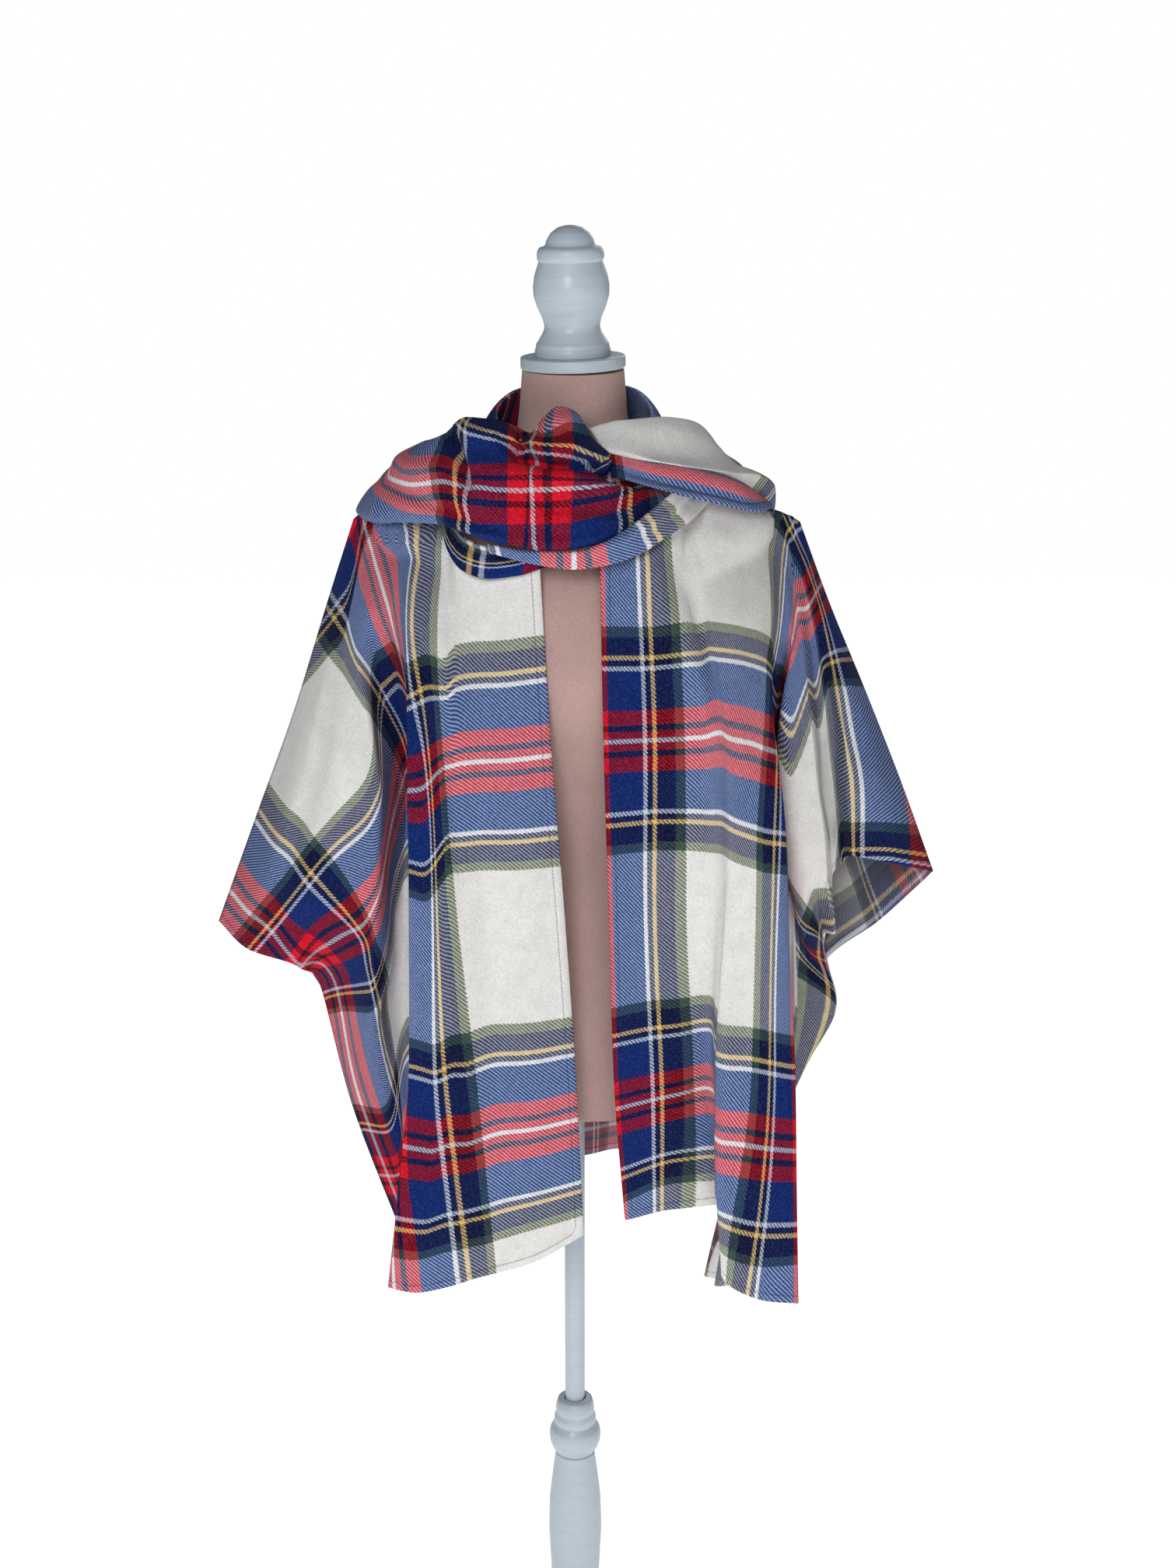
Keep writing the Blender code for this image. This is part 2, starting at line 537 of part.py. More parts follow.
def turned(name, profile, foot, sides, material, bore=0.0):
    """A turned piece standing on height foot, solid or with a plain bore through it."""
    rings = [(r * MM, foot + z * MM) for r, z in profile]
    if bore:
        rings += [(bore, rings[-1][1]), (bore, rings[0][1])]
    points = []
    for radius, height in rings:
        for k in range(sides):
            angle = 2 * math.pi * k / sides
            points.append((radius * math.cos(angle), radius * math.sin(angle), height))
    faces = []
    count = len(rings)
    for i in range(count if bore else count - 1):
        a = i * sides
        b = ((i + 1) % count) * sides
        for k in range(sides):
            n = (k + 1) % sides
            faces.append((a + k, a + n, b + n, b + k))
    if not bore:
        faces.append(tuple(range(sides))[::-1])
        faces.append(tuple(range((count - 1) * sides, count * sides)))
    return add_object(name, points, faces, material, 35)


def dress_form(material):
    """The torso and neck in one smooth, closed shell of oval rings."""
    rings = []
    for height, half, front, behind, power in FORM_RINGS:
        ring = []
        for k in range(FORM_SIDES):
            angle = 2 * math.pi * k / FORM_SIDES
            c = math.copysign(abs(math.cos(angle)) ** (2 / power), math.cos(angle))
            s = math.copysign(abs(math.sin(angle)) ** (2 / power), math.sin(angle))
            depth = behind if s > 0 else front
            ring.append((half * c * MM, depth * s * MM, height * MM))
        rings.append(ring)
    points = [p for ring in rings for p in ring]
    faces = []
    for i in range(len(rings) - 1):
        a = i * FORM_SIDES
        for k in range(FORM_SIDES):
            n = (k + 1) % FORM_SIDES
            faces.append((a + k, a + n, a + FORM_SIDES + n, a + FORM_SIDES + k))
    faces.append(tuple(range(FORM_SIDES))[::-1])
    faces.append(tuple(range((len(rings) - 1) * FORM_SIDES, len(rings) * FORM_SIDES)))
    return add_object("dress_form", points, faces, material, 40)


def neck_cap(material):
    """The disc and the finial, both a little askew on the neck."""
    disc = turned("neck_disc", DISC_PROFILE, 0.0, DISC_SIDES, material)
    finial = turned("finial", FINIAL_PROFILE, DISC_HEIGHT + STACKED, TURNED_SIDES, material)
    for item in (disc, finial):
        item.location = (0, 0, NECK_TOP + CAP_CLEAR)
        item.rotation_euler = (0, -CAP_TILT, 0)


def stand(material):
    """Base, turned leg, ball collar and pole, from the floor up."""
    turned("base", BASE_PROFILE, 0.0, BASE_SIDES, material)
    leg_foot = BASE_HEIGHT + STACKED
    turned("leg", LEG_PROFILE, leg_foot, TURNED_SIDES, material)
    leg_top = leg_foot + LEG_PROFILE[-1][1] * MM
    bore = POLE_RADIUS + BORE_CLEAR
    turned("ball_collar", BALL_PROFILE, leg_top + STACKED, TURNED_SIDES, material, bore)
    pole_foot = leg_top + STACKED
    length = (TORSO_BOTTOM - STACKED - pole_foot) / MM
    turned("pole", ((POLE_RADIUS / MM, 0), (POLE_RADIUS / MM, length)), pole_foot, TURNED_SIDES, material)


def build():
    clear_scene()
    fleece = finish("tartan_fleece", (0.42, 0.40, 0.46), 0.95)
    scarf = finish("scarf_fleece", (0.40, 0.12, 0.18), 0.95)
    jersey = finish("form_jersey", (0.50, 0.33, 0.27), 0.85)
    paint = finish("white_paint", (0.74, 0.79, 0.83), 0.45)
    form = dress_form(jersey)
    neck_cap(paint)
    stand(paint)
    panels = [
        cloth_panel("front_right", FRONT_RIGHT, -1, fleece),
        cloth_panel("front_left", FRONT_LEFT, -1, fleece),
        cloth_panel("back", BACK, 1, fleece),
    ]
    seat(panels, [form], (0, 0, -1))
    laid = [form] + panels
    for name, rows, press in SCARF:
        stretch = soft_band(name, rows, scarf)
        seat([stretch], laid, press)
        laid.append(stretch)


build()
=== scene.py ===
"""Tartan fleece poncho with its attached scarf on a limbless dress form: the visual scene.

Metres, +Z up, the poncho's front facing -Y and the wearer's right at -X, as in the CAD frame. The tables
below give millimetres in that frame, and centimetres on the cut cloth.
"""
import math

import bmesh
import bpy
import numpy as np
from mathutils import Matrix, Vector


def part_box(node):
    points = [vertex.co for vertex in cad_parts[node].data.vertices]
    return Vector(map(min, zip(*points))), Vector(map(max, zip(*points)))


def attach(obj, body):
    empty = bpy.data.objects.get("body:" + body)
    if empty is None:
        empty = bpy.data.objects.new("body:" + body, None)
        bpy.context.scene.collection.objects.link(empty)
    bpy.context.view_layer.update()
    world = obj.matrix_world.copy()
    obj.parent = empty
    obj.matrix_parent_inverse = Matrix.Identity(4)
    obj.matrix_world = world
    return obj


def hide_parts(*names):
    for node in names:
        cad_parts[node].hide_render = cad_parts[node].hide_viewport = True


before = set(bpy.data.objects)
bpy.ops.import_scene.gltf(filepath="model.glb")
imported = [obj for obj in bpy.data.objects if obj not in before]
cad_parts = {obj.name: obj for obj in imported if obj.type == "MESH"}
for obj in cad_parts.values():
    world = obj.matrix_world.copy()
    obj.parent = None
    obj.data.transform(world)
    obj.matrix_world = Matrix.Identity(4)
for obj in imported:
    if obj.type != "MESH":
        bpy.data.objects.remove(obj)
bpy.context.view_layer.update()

MM = 0.001
CM = 0.01
WALL = 2.6 * MM            # fleece wall
SEAM = 0.15 * MM           # half of the gap between two pieces along a seam
FORM_GAP = 2.3 * MM        # air between cloth and form
INNER_GAP = 0.6 * MM       # least air between the wall's inner face and the form
LAYERS_GAP = 6.5 * MM      # from the form to the scarf's lowest layer on the shoulders
DEEPEST_LAYERS = 38 * MM   # most that the scarf's inner layers come down
HEM = 7.5 * MM             # turned back and stitched through at this distance from the edge
THREAD = 0.9 * MM          # half width of the stitch line with the dent that it pulls
STITCH_PITCH = 3.4 * MM
GARMENT_CENTRE = 1.0       # height of the middle of the poncho
ACROSS = 10                # grid steps between two folds
DOWN = (30, 26, 26, 26)    # grid steps between the five levels of a fold
SCARF_SIDES = 140          # points round a stretch of scarf
NECK_TOP = 1.469
TORSO_BOTTOM = 0.765
CAP_TILT = math.radians(1.3)
LEG_FOOT = 0.0303
LEG_TOP = LEG_FOOT + 0.3145
POLE_LENGTH = 419.6        # mm
POLE_RADIUS = 10.2         # mm

# Rings of the form: height, half width, depth in front, depth behind, squareness of the oval
FORM_RINGS = (
    (765, 141, 95, 95, 2.2), (770, 149, 101, 101, 2.2), (800, 156, 106, 108, 2.2),
    (860, 161, 108, 112, 2.2), (940, 148, 101, 104, 2.2), (1040, 119, 88, 84, 2.2),
    (1110, 126, 103, 87, 2.3), (1200, 142, 125, 97, 2.3), (1260, 155, 115, 103, 2.4),
    (1300, 170, 98, 101, 2.5), (1320, 181, 82, 92, 2.6), (1331, 181, 72, 84, 2.6),
    (1338, 174, 67, 78, 2.6), (1346, 159, 62, 73, 2.5), (1357, 130, 57, 68, 2.4),
    (1365, 108, 55, 65, 2.35), (1374, 86, 53, 61, 2.3), (1391, 62, 50, 54, 2.1),
    (1418, 51, 48, 49, 2.0), (1469, 46.5, 46.5, 46.5, 2.0),
)

# Profiles of the turned pieces: radius, height above the piece's own foot
FINIAL_PROFILE = (
    (34.4, 0), (34.4, 6), (33.2, 8), (33.2, 11), (31.5, 13), (30.3, 15), (26.6, 21), (25.0, 26),
    (26.4, 33), (31.2, 44), (34.2, 54), (34.5, 62), (33.0, 72), (29.2, 83), (28.8, 84), (30.2, 86),
    (30.2, 92), (28.4, 96), (22.8, 97.5), (21.2, 103), (17.2, 109), (11.0, 113.5), (4.0, 115.2),
    (0.4, 115.4),
)
DISC_PROFILE = ((0.4, 0), (46.8, 0), (47.8, 1.2), (47.8, 10.2), (47.0, 11.0), (0.4, 11.0))
BALL_PROFILE = (
    (11.2, 0), (19.4, 0), (23.4, 6), (26.2, 14), (26.8, 22), (25.6, 28), (22.0, 33), (20.9, 35),
    (21.8, 37), (21.6, 42), (19.0, 47), (19.9, 49), (19.6, 55), (17.6, 62), (14.2, 63), (11.2, 63),
)
LEG_PROFILE = (
    (0.4, 0), (31.0, 0), (32.0, 5), (30.0, 11), (22.5, 15), (20.0, 22), (23.8, 26), (24.2, 32),
    (20.0, 38), (16.4, 48), (17.2, 66), (20.6, 104), (25.3, 170), (27.7, 222), (26.8, 260),
    (23.2, 292), (20.2, 314.5), (0.4, 314.5),
)
BASE_PROFILE = ((0.4, 0), (186, 0), (190, 3), (190, 16), (184, 23), (160, 26.5), (60, 29), (48, 30),
                (0.4, 30))

# Five places along each fold, from the top of the piece to its lower edge, all on the plane y = 0
RIGHT_FOLD = ((-204, 0, 1331), (-230, 0, 1255), (-265, 0, 1150), (-307, 0, 1040), (-347, 0, 935))
RIGHT_SEAM_TOP = (-250, 0, 867)
RIGHT_SEAM_MID = (-224, 0, 745)
RIGHT_CORNER = (-160, 0, 552)
LEFT_FOLD = ((210, 0, 1329), (239, 0, 1254), (276, 0, 1168), (314, 0, 1076), (348, 0, 987))
LEFT_SEAM_TOP = (248, 0, 893)
LEFT_SEAM_LOW = (259, 0, 848)
LEFT_SEAM_MID = (228, 0, 775)
LEFT_CORNER = (135, 0, 548)

# Each fold: its five places (mm), then where they lie in the cut cloth (cm): u from the front edge or
# the back's middle, v down from the overarm line. Two pairs are the ends, five are each place.
FRONT_RIGHT = (
    ((-30, -112, 1312), (-20, -136, 1150), (-8, -141, 990), (2, -141, 830), (9, -140, 668),
     ((0, 13.9), (0, 29.4), (0, 45.2), (0, 61), (0, 77.4))),
    ((-78, -107, 1298), (-68, -143, 1140), (-58, -150, 975), (-50, -152, 810), (-42, -148, 642),
     ((4.9, 14.5), (5, 30.1), (5.2, 46.6), (5.5, 62.5), (5.8, 78.6))),
    ((-106, -93, 1316), (-100, -147, 1150), (-95, -157, 980), (-91, -159, 810), (-90, -154, 631),
     ((8.2, 12.2), (8.1, 29), (8.8, 46), (9.9, 61.8), (11.3, 78.5))),
    ((-112, -50, 1350), (-118, -130, 1228), (-115, -162, 1050), (-113, -167, 835), (-120, -162, 625),
     ((8.9, 5.5), (9.3, 20.1), (10.3, 38.8), (11.7, 59.6), (14.1, 78.8))),
    ((-105, 0, 1374), (-133, -117, 1252), (-132, -164, 1065), (-132, -169, 850), (-150, -167, 622),
     ((10.6, 0.5), (11, 17.7), (14.4, 35.2), (13.7, 57.6), (17.6, 78.5))),
    ((-135, 0, 1360), (-147, -112, 1262), (-147, -162, 1085), (-151, -168, 855), (-176, -165, 627),
     ((12.8, 1.5), (12.8, 15.9), (16.4, 33.2), (16.9, 57.7), (21, 78.2))),
    ((-150, 0, 1354), (-156, -96, 1262), (-140, -108, 1085), (-143, -110, 850), (-158, -120, 614),
     ((14.4, 2), (16.9, 15.8), (22.5, 32.5), (21.5, 57), (26, 78.5))),
    ((-162, 0, 1349), (-165, -81, 1260), (-150, -62, 1088), (-153, -60, 850), (-112, -86, 600),
     ((15.3, 2.2), (19.5, 17), (26.5, 32), (27, 56), (33, 79))),
    ((-172, 0, 1345), (-173, -73, 1254), (-156, -55, 1085), (-165, -50, 860), (-160, -48, 578),
     ((16.4, 2.4), (20.9, 17), (29.5, 31.8), (36.5, 53.5), (43, 79))),
    ((-180, 0, 1342), (-181, -69, 1248), (-161, -63, 1080), (-178, -60, 860), RIGHT_CORNER,
     ((17.1, 2.4), (22.4, 17.2), (31.8, 31), (44.5, 48.5), (56, 79))),
    ((-187, 0, 1340), (-189, -66, 1245), (-168, -84, 1085), (-185, -84, 900), RIGHT_SEAM_MID,
     ((18.1, 2), (23.7, 16), (33.8, 28.5), (46.7, 38.5), (56.2, 54.1))),
    ((-193, 0, 1338), (-197, -62, 1242), (-178, -105, 1100), (-188, -99, 965), RIGHT_SEAM_TOP,
     ((19.1, 1), (24.7, 13), (35.5, 22.5), (44.9, 31.3), (57.5, 35.5))),
    ((-198, 0, 1336), (-209, -50, 1242), (-212, -92, 1120), (-236, -94, 1010), (-264, -54, 908),
     ((20.3, -2), (26.7, 4.5), (37, 16.4), (47, 24.1), (54.9, 29.5))),
    ((-201, 0, 1334), (-220, -30, 1246), (-244, -62, 1132), (-280, -66, 1022), (-312, -42, 921),
     ((21, -2.8), (27, 2.6), (38.2, 11.2), (48.9, 17.5), (57.6, 22.8))),
    RIGHT_FOLD + (((21.5, -3.5), (26.7, 0.3), (37.2, 6.4), (48, 11.9), (57.5, 17)),),
)
FRONT_LEFT = (
    ((25, -113, 1312), (28, -136, 1150), (33, -141, 990), (38, -141, 830), (49, -140, 684),
     ((0, 14.4), (0, 30.6), (0, 46.1), (0, 62), (0, 77.3))),
    ((62, -109, 1322), (74, -141, 1150), (80, -148, 985), (84, -150, 835), (94, -147, 699),
     ((4.8, 13.1), (5.25, 31), (5.8, 47.5), (5.4, 63.1), (6.4, 78.3))),
    ((96, -74, 1349), (114, -136, 1190), (124, -147, 1010), (126, -146, 850), (146, -140, 702),
     ((8.6, 10.2), (9.5, 27.2), (10.2, 44.7), (9.9, 61.9), (10.6, 77.6))),
    ((101, 0, 1374), (125, -122, 1240), (143, -161, 1070), (130, -166, 862), (139, -169, 643),
     ((9, 3), (12.2, 22.4), (18.6, 38.6), (17.6, 58.2), (20.6, 77.6))),
    ((126, 0, 1363), (150, -116, 1245), (170, -157, 1065), (170, -168, 865), (176, -175, 619),
     ((14, 2.4), (17.4, 21.2), (23.2, 38.0), (23.2, 57.3), (26.6, 78.2))),
    ((148, 0, 1355), (170, -102, 1248), (190, -140, 1075), (203, -156, 870), (213, -169, 612),
     ((17, 2.8), (21.3, 19.7), (27.8, 36.2), (31.4, 55.8), (31.1, 78.9))),
    ((160, 0, 1350), (178, -90, 1247), (184, -110, 1075), (192, -120, 865), (190, -122, 606),
     ((19.5, 3.2), (22.4, 18.7), (30.5, 35.2), (35.4, 55.6), (36.5, 78.6))),
    ((169, 0, 1346), (181, -80, 1245), (181, -78, 1080), (176, -74, 860), (140, -92, 588),
     ((20.4, 3.5), (23.6, 17.6), (33, 34.2), (39, 56), (42, 78.5))),
    ((176, 0, 1343), (185, -72, 1243), (186, -68, 1082), (184, -62, 862), (168, -46, 566),
     ((21.1, 3.5), (25, 16.5), (35.5, 32), (42.5, 56), (48, 78.5))),
    ((183, 0, 1341), (189, -66, 1241), (197, -49, 1099), (213, -69, 870), LEFT_CORNER,
     ((21.8, 3.5), (26.5, 16.5), (38, 30), (49, 55), (58, 78.5))),
    ((187, 0, 1340), (194, -62, 1239), (210, -16, 1091), (194, -49, 860), LEFT_SEAM_MID,
     ((22.2, 3.3), (28.2, 15.5), (41, 26), (53, 47), (60, 52))),
    ((190, 0, 1339), (197, -61, 1238), (219, -44, 1116), (215, -31, 944), LEFT_SEAM_LOW,
     ((22.5, 3), (30, 14.5), (44.5, 19), (56, 34), (61, 40))),
    ((193, 0, 1338), (200, -61, 1237), (186, -85, 1112), (210, -87, 966), LEFT_SEAM_TOP,
     ((22.9, 2.7), (32, 13), (44.8, 16), (57, 24), (61.2, 30))),
    ((195, 0, 1337), (204, -61, 1237), (201, -101, 1078), (217, -102, 1025), (237, -64, 946),
     ((23.2, 2.3), (34, 11), (46, 13), (55, 15.5), (61.2, 17))),
    ((197, 0, 1336), (209, -60, 1237), (225, -95, 1110), (233, -101, 1035), (244, -96, 960),
     ((23.5, 2), (34.9, 9), (47.5, 11), (54.7, 12), (60.9, 13.5))),
    ((200, 0, 1335), (217, -42, 1241), (231, -36, 1144), (239, -34, 1066), (248, -26, 992),
     ((24, 1.5), (34.1, 7), (42.5, 8), (49.8, 9), (56.6, 10))),
    ((203, 0, 1334), (224, -36, 1245), (241, -34, 1152), (249, -32, 1078), (258, -24, 1006),
     ((24.6, 1), (34.6, 4), (45.9, 3.6), (54, 4.2), (61, 4))),
    ((205, 0, 1332), (229, -31, 1249), (247, -56, 1165), (257, -62, 1092), (262, -58, 1022),
     ((24.8, 0.5), (34.8, 2.8), (45.2, 2.5), (53.5, 2.9), (60.7, 2.9))),
    ((207, 0, 1331), (234, -18, 1254), (264, -40, 1168), (288, -46, 1086), (306, -40, 1008),
     ((25, 0), (34.6, 0.6), (44.3, 0.5), (53.6, -0.1), (61.5, -1.1))),
    LEFT_FOLD + (((25.5, -0.5), (34.6, -1.2), (43.1, -1.6), (53.2, -2.1), (61.6, -3.3)),),
)
BACK = (
    RIGHT_FOLD + (((-21.5, 3.5), (-26.7, -0.3), (-37.2, -6.4), (-48, -11.9), (-57.5, -17)),),
    ((-201, 0, 1334), (-221, 28, 1246), (-250, 56, 1130), (-287, 60, 1018), (-320, 40, 914),
     ((-21, 3), (-26.6, 3), (-37.6, 0.5), (-48.4, -3.5), (-58, -8))),
    ((-198, 0, 1336), (-211, 46, 1243), (-220, 84, 1120), (-249, 83, 1003), (-279, 44, 894),
     ((-20.4, 2.5), (-26, 8), (-36.8, 9), (-48, 8), (-59, 6))),
    ((-193, 0, 1338), (-200, 58, 1243), (-194, 97, 1105), (-218, 86, 959), RIGHT_SEAM_TOP,
     ((-19.9, 1.6), (-62, 27))),
    ((-187, 0, 1340), (-193, 66, 1246), (-180, 99, 1092), (-186, 92, 900), RIGHT_SEAM_MID,
     ((-19.2, 0.8), (-62, 50))),
    ((-180, 0, 1342), (-187, 74, 1248), (-172, 92, 1085), (-182, 78, 860), RIGHT_CORNER,
     ((-18.4, 0.4), (-60, 78))),
    ((-166, 0, 1348), (-176, 86, 1254), (-160, 98, 1085), (-168, 92, 850), (-172, 62, 578),
     ((-17, 0), (-48, 78))),
    ((-142, 0, 1357), (-156, 102, 1260), (-146, 132, 1078), (-152, 142, 850), (-150, 152, 600),
     ((-14.4, 0), (-37, 78))),
    ((-112, 0, 1370), (-122, 112, 1258), (-112, 124, 1068), (-106, 126, 850), (-98, 128, 610),
     ((-11.2, 0), (-25, 78))),
    ((-64, 42, 1386), (-72, 117, 1235), (-62, 138, 1055), (-58, 150, 848), (-54, 160, 616),
     ((-6.5, 1), (-12.5, 78))),
    ((0, 58, 1390), (0, 112, 1232), (0, 118, 1050), (0, 124, 845), (0, 132, 620),
     ((0, 2), (0, 78))),
    ((64, 42, 1386), (70, 117, 1235), (60, 140, 1055), (56, 154, 848), (52, 166, 612),
     ((6.5, 1), (12.5, 78))),
    ((112, 0, 1370), (120, 111, 1258), (108, 121, 1068), (102, 122, 850), (100, 122, 606),
     ((11.2, 0), (25, 78))),
    ((142, 0, 1357), (156, 100, 1258), (150, 130, 1078), (158, 138, 850), (152, 146, 594),
     ((14.4, 0), (37, 78))),
    ((170, 0, 1346), (180, 82, 1250), (176, 94, 1085), (184, 84, 850), (176, 58, 570),
     ((18, 0.2), (48, 78))),
    ((183, 0, 1341), (190, 70, 1244), (186, 88, 1088), (198, 74, 860), LEFT_CORNER,
     ((20, 0.3), (60, 78))),
    ((187, 0, 1340), (195, 64, 1242), (195, 90, 1092), (206, 80, 905), LEFT_SEAM_MID,
     ((21, 0.3), (61, 52))),
    ((190, 0, 1339), (199, 60, 1241), (203, 90, 1098), (224, 84, 940), LEFT_SEAM_LOW,
     ((22, 0.4), (61, 40))),
    ((193, 0, 1338), (204, 54, 1240), (216, 87, 1106), (240, 82, 985), LEFT_SEAM_TOP,
     ((23, 0.4), (61.2, 30))),
    ((202, 0, 1333), (219, 36, 1246), (248, 66, 1128), (272, 66, 1020), (292, 38, 914),
     ((24.5, 0.5), (61.4, 15))),
    LEFT_FOLD + (((25.5, 0.5), (34.6, 1.2), (43.1, 1.6), (53.2, 2.1), (61.6, 3.3)),),
)

# Scarf stretches. Each section: upper edge, lower edge (mm), thickness and bulge (mm), then its place
# along the scarf, and its places across at the upper and the lower edge, in the cut cloth (cm)
SCARF_COLLAR = (
    ((-66, -36, 1424), (-86, -44, 1386), 9, 1, 3, 4, 9),
    ((-70, 0, 1439), (-92, 0, 1388), 10, 2, 7, 4, 9.5),
    ((-55, 38, 1453), (-72, 54, 1392), 11, 3, 11.5, 4, 10),
    ((0, 60, 1461), (0, 76, 1396), 12, 3, 17.5, 4, 10),
    ((56, 40, 1455), (73, 54, 1393), 11, 3, 23.5, 4, 10),
    ((72, 2, 1438), (91, 2, 1389), 10, 2, 28, 4, 9.5),
    ((72, -30, 1414), (86, -42, 1386), 9, 1, 31, 4, 9),
)
SCARF_SWATHE = (
    ((68, -60, 1382), (84, -82, 1360), 9, 2, 21.5, 9, 15),
    ((50, -74, 1386), (64, -106, 1352), 11, 4, 19.2, 7, 15.5),
    ((31, -84, 1399), (38, -124, 1341), 13, 7, 16.8, 4, 16),
    ((16, -90, 1423), (20, -133, 1336), 15, 9, 15, 1, 16),
    ((2, -91, 1446), (2, -137, 1333), 15, 10, 13.6, -2, 16),
    ((-12, -92, 1451), (-14, -139, 1332), 15, 10, 12.1, -2.5, 16),
    ((-25, -93, 1441), (-26, -139, 1332), 15, 10, 10.9, -1.5, 15.8),
    ((-37, -93, 1428), (-38, -139, 1333), 15, 10, 9.6, 0.4, 15.7),
    ((-50, -95, 1434), (-50, -138, 1336), 15, 10, 8.2, 1, 15.4),
    ((-70, -94, 1440), (-70, -134, 1339), 15, 10, 6.0, 1.3, 15),
    ((-92, -88, 1441), (-94, -124, 1345), 15, 9, 3.3, 2, 14.6),
    ((-114, -76, 1424), (-120, -110, 1350), 14, 8, -0.5, 6.2, 14.3),
    ((-128, -46, 1414), (-156, -80, 1346), 13, 7, -4.2, 7, 14.4),
    ((-130, -8, 1408), (-188, -36, 1341), 12, 6, -7, 7.5, 15),
    ((-126, 36, 1400), (-202, 16, 1338), 12, 5, -12, 7, 16),
    ((-116, 84, 1362), (-198, 70, 1320), 12, 4, -18, 7, 16),
    ((-106, 115, 1302), (-188, 110, 1270), 11, 4, -24.5, 7, 16),
    ((-98, 136, 1220), (-182, 138, 1198), 10, 3, -33, 7, 16),
    ((-94, 148, 1120), (-178, 150, 1106), 9, 3, -42.6, 7, 15.5),
    ((-92, 160, 1030), (-174, 160, 1022), 8, 2, -51.5, 7, 15.2),
)
SCARF_FALL = (
    ((14, -68, 1428), (30, -88, 1410), 9, 2, 21.5, 25, 27),
    ((42, -64, 1434), (54, -92, 1406), 13, 6, 24, 24, 29),
    ((72, -48, 1434), (90, -84, 1398), 17, 10, 27, 22.5, 29),
    ((102, -22, 1428), (130, -62, 1388), 18, 11, 30.4, 21, 29.5),
    ((116, 8, 1416), (164, -22, 1378), 17, 10, 34, 19.6, 29.5),
    ((118, 44, 1400), (188, 26, 1358), 15, 7, 38, 18.5, 29),
    ((112, 86, 1366), (192, 74, 1328), 13, 5, 43.5, 18, 28),
    ((102, 119, 1304), (185, 114, 1270), 12, 4, 50.5, 18, 28),
    ((96, 138, 1220), (178, 140, 1196), 10, 3, 58.5, 18, 27.5),
    ((94, 150, 1130), (174, 148, 1110), 9, 3, 67.5, 18, 27),
    ((92, 160, 1056), (172, 154, 1040), 8, 2, 75, 18, 27),
)
SCARF_UNDER = (
    ((30, -84, 1412), (34, -97, 1390), 6, 1, 19, 11, 15),
    ((62, -86, 1404), (67, -100, 1381), 6, 1, 23, 11, 14.8),
    ((94, -78, 1398), (100, -92, 1371), 7, 1, 26, 11.2, 14.6),
    ((124, -65, 1389), (132, -78, 1361), 7, 1, 28.5, 11.2, 14.6),
    ((148, -50, 1378), (160, -62, 1352), 7, 1, 31, 11.2, 14.4),
    ((166, -22, 1362), (178, -30, 1348), 6, 1, 33, 11.4, 14.2),
    ((172, 8, 1354), (184, 4, 1345), 5, 1, 34.8, 11.6, 13.8),
)
SCARF_BAND = (
    ((-74, -146, 1334), (-72, -147, 1326), 7, 1, 2.9, 24, 25),
    ((-34, -152, 1329), (-32, -153, 1317), 10, 1, 7, 23.8, 25.2),
    ((0, -154, 1329), (0, -154, 1313), 11, 2, 10.2, 23.5, 25.5),
    ((26, -150, 1336), (31, -150, 1316), 12, 2, 13, 23, 25.6),
    ((50, -141, 1348), (60, -138, 1324), 12, 2, 16.2, 23, 26),
    ((68, -130, 1360), (82, -127, 1336), 12, 2, 18.4, 22.6, 26),
    ((83, -117, 1370), (102, -111, 1346), 10, 2, 21, 22.5, 26),
    ((97, -84, 1376), (116, -78, 1352), 6, 1, 24, 22.5, 26),
    ((104, -68, 1380), (123, -62, 1356), 5, 1, 27, 22.5, 26),
)
SCARF_LOOP = (
    ((-117, -62, 1376), (-118, -76, 1350), 6, 1, 0.2, -2, 5),
    ((-110, -92, 1354), (-113, -99, 1327), 7, 2, 0.9, -2, 5.2),
    ((-96, -112, 1336), (-98, -114, 1306), 8, 3, 2.2, -1.5, 6),
    ((-72, -120, 1328), (-75, -121, 1300), 8, 3, 4.3, -1, 6.4),
    ((-46, -122, 1325), (-47, -122, 1303), 7, 2, 7.2, 1, 6.4),
    ((-22, -120, 1324), (-22, -119, 1310), 6, 1, 9.8, 3, 6.4),
    ((2, -118, 1324), (2, -117, 1312), 5, 1, 12.4, 3, 6.4),
)
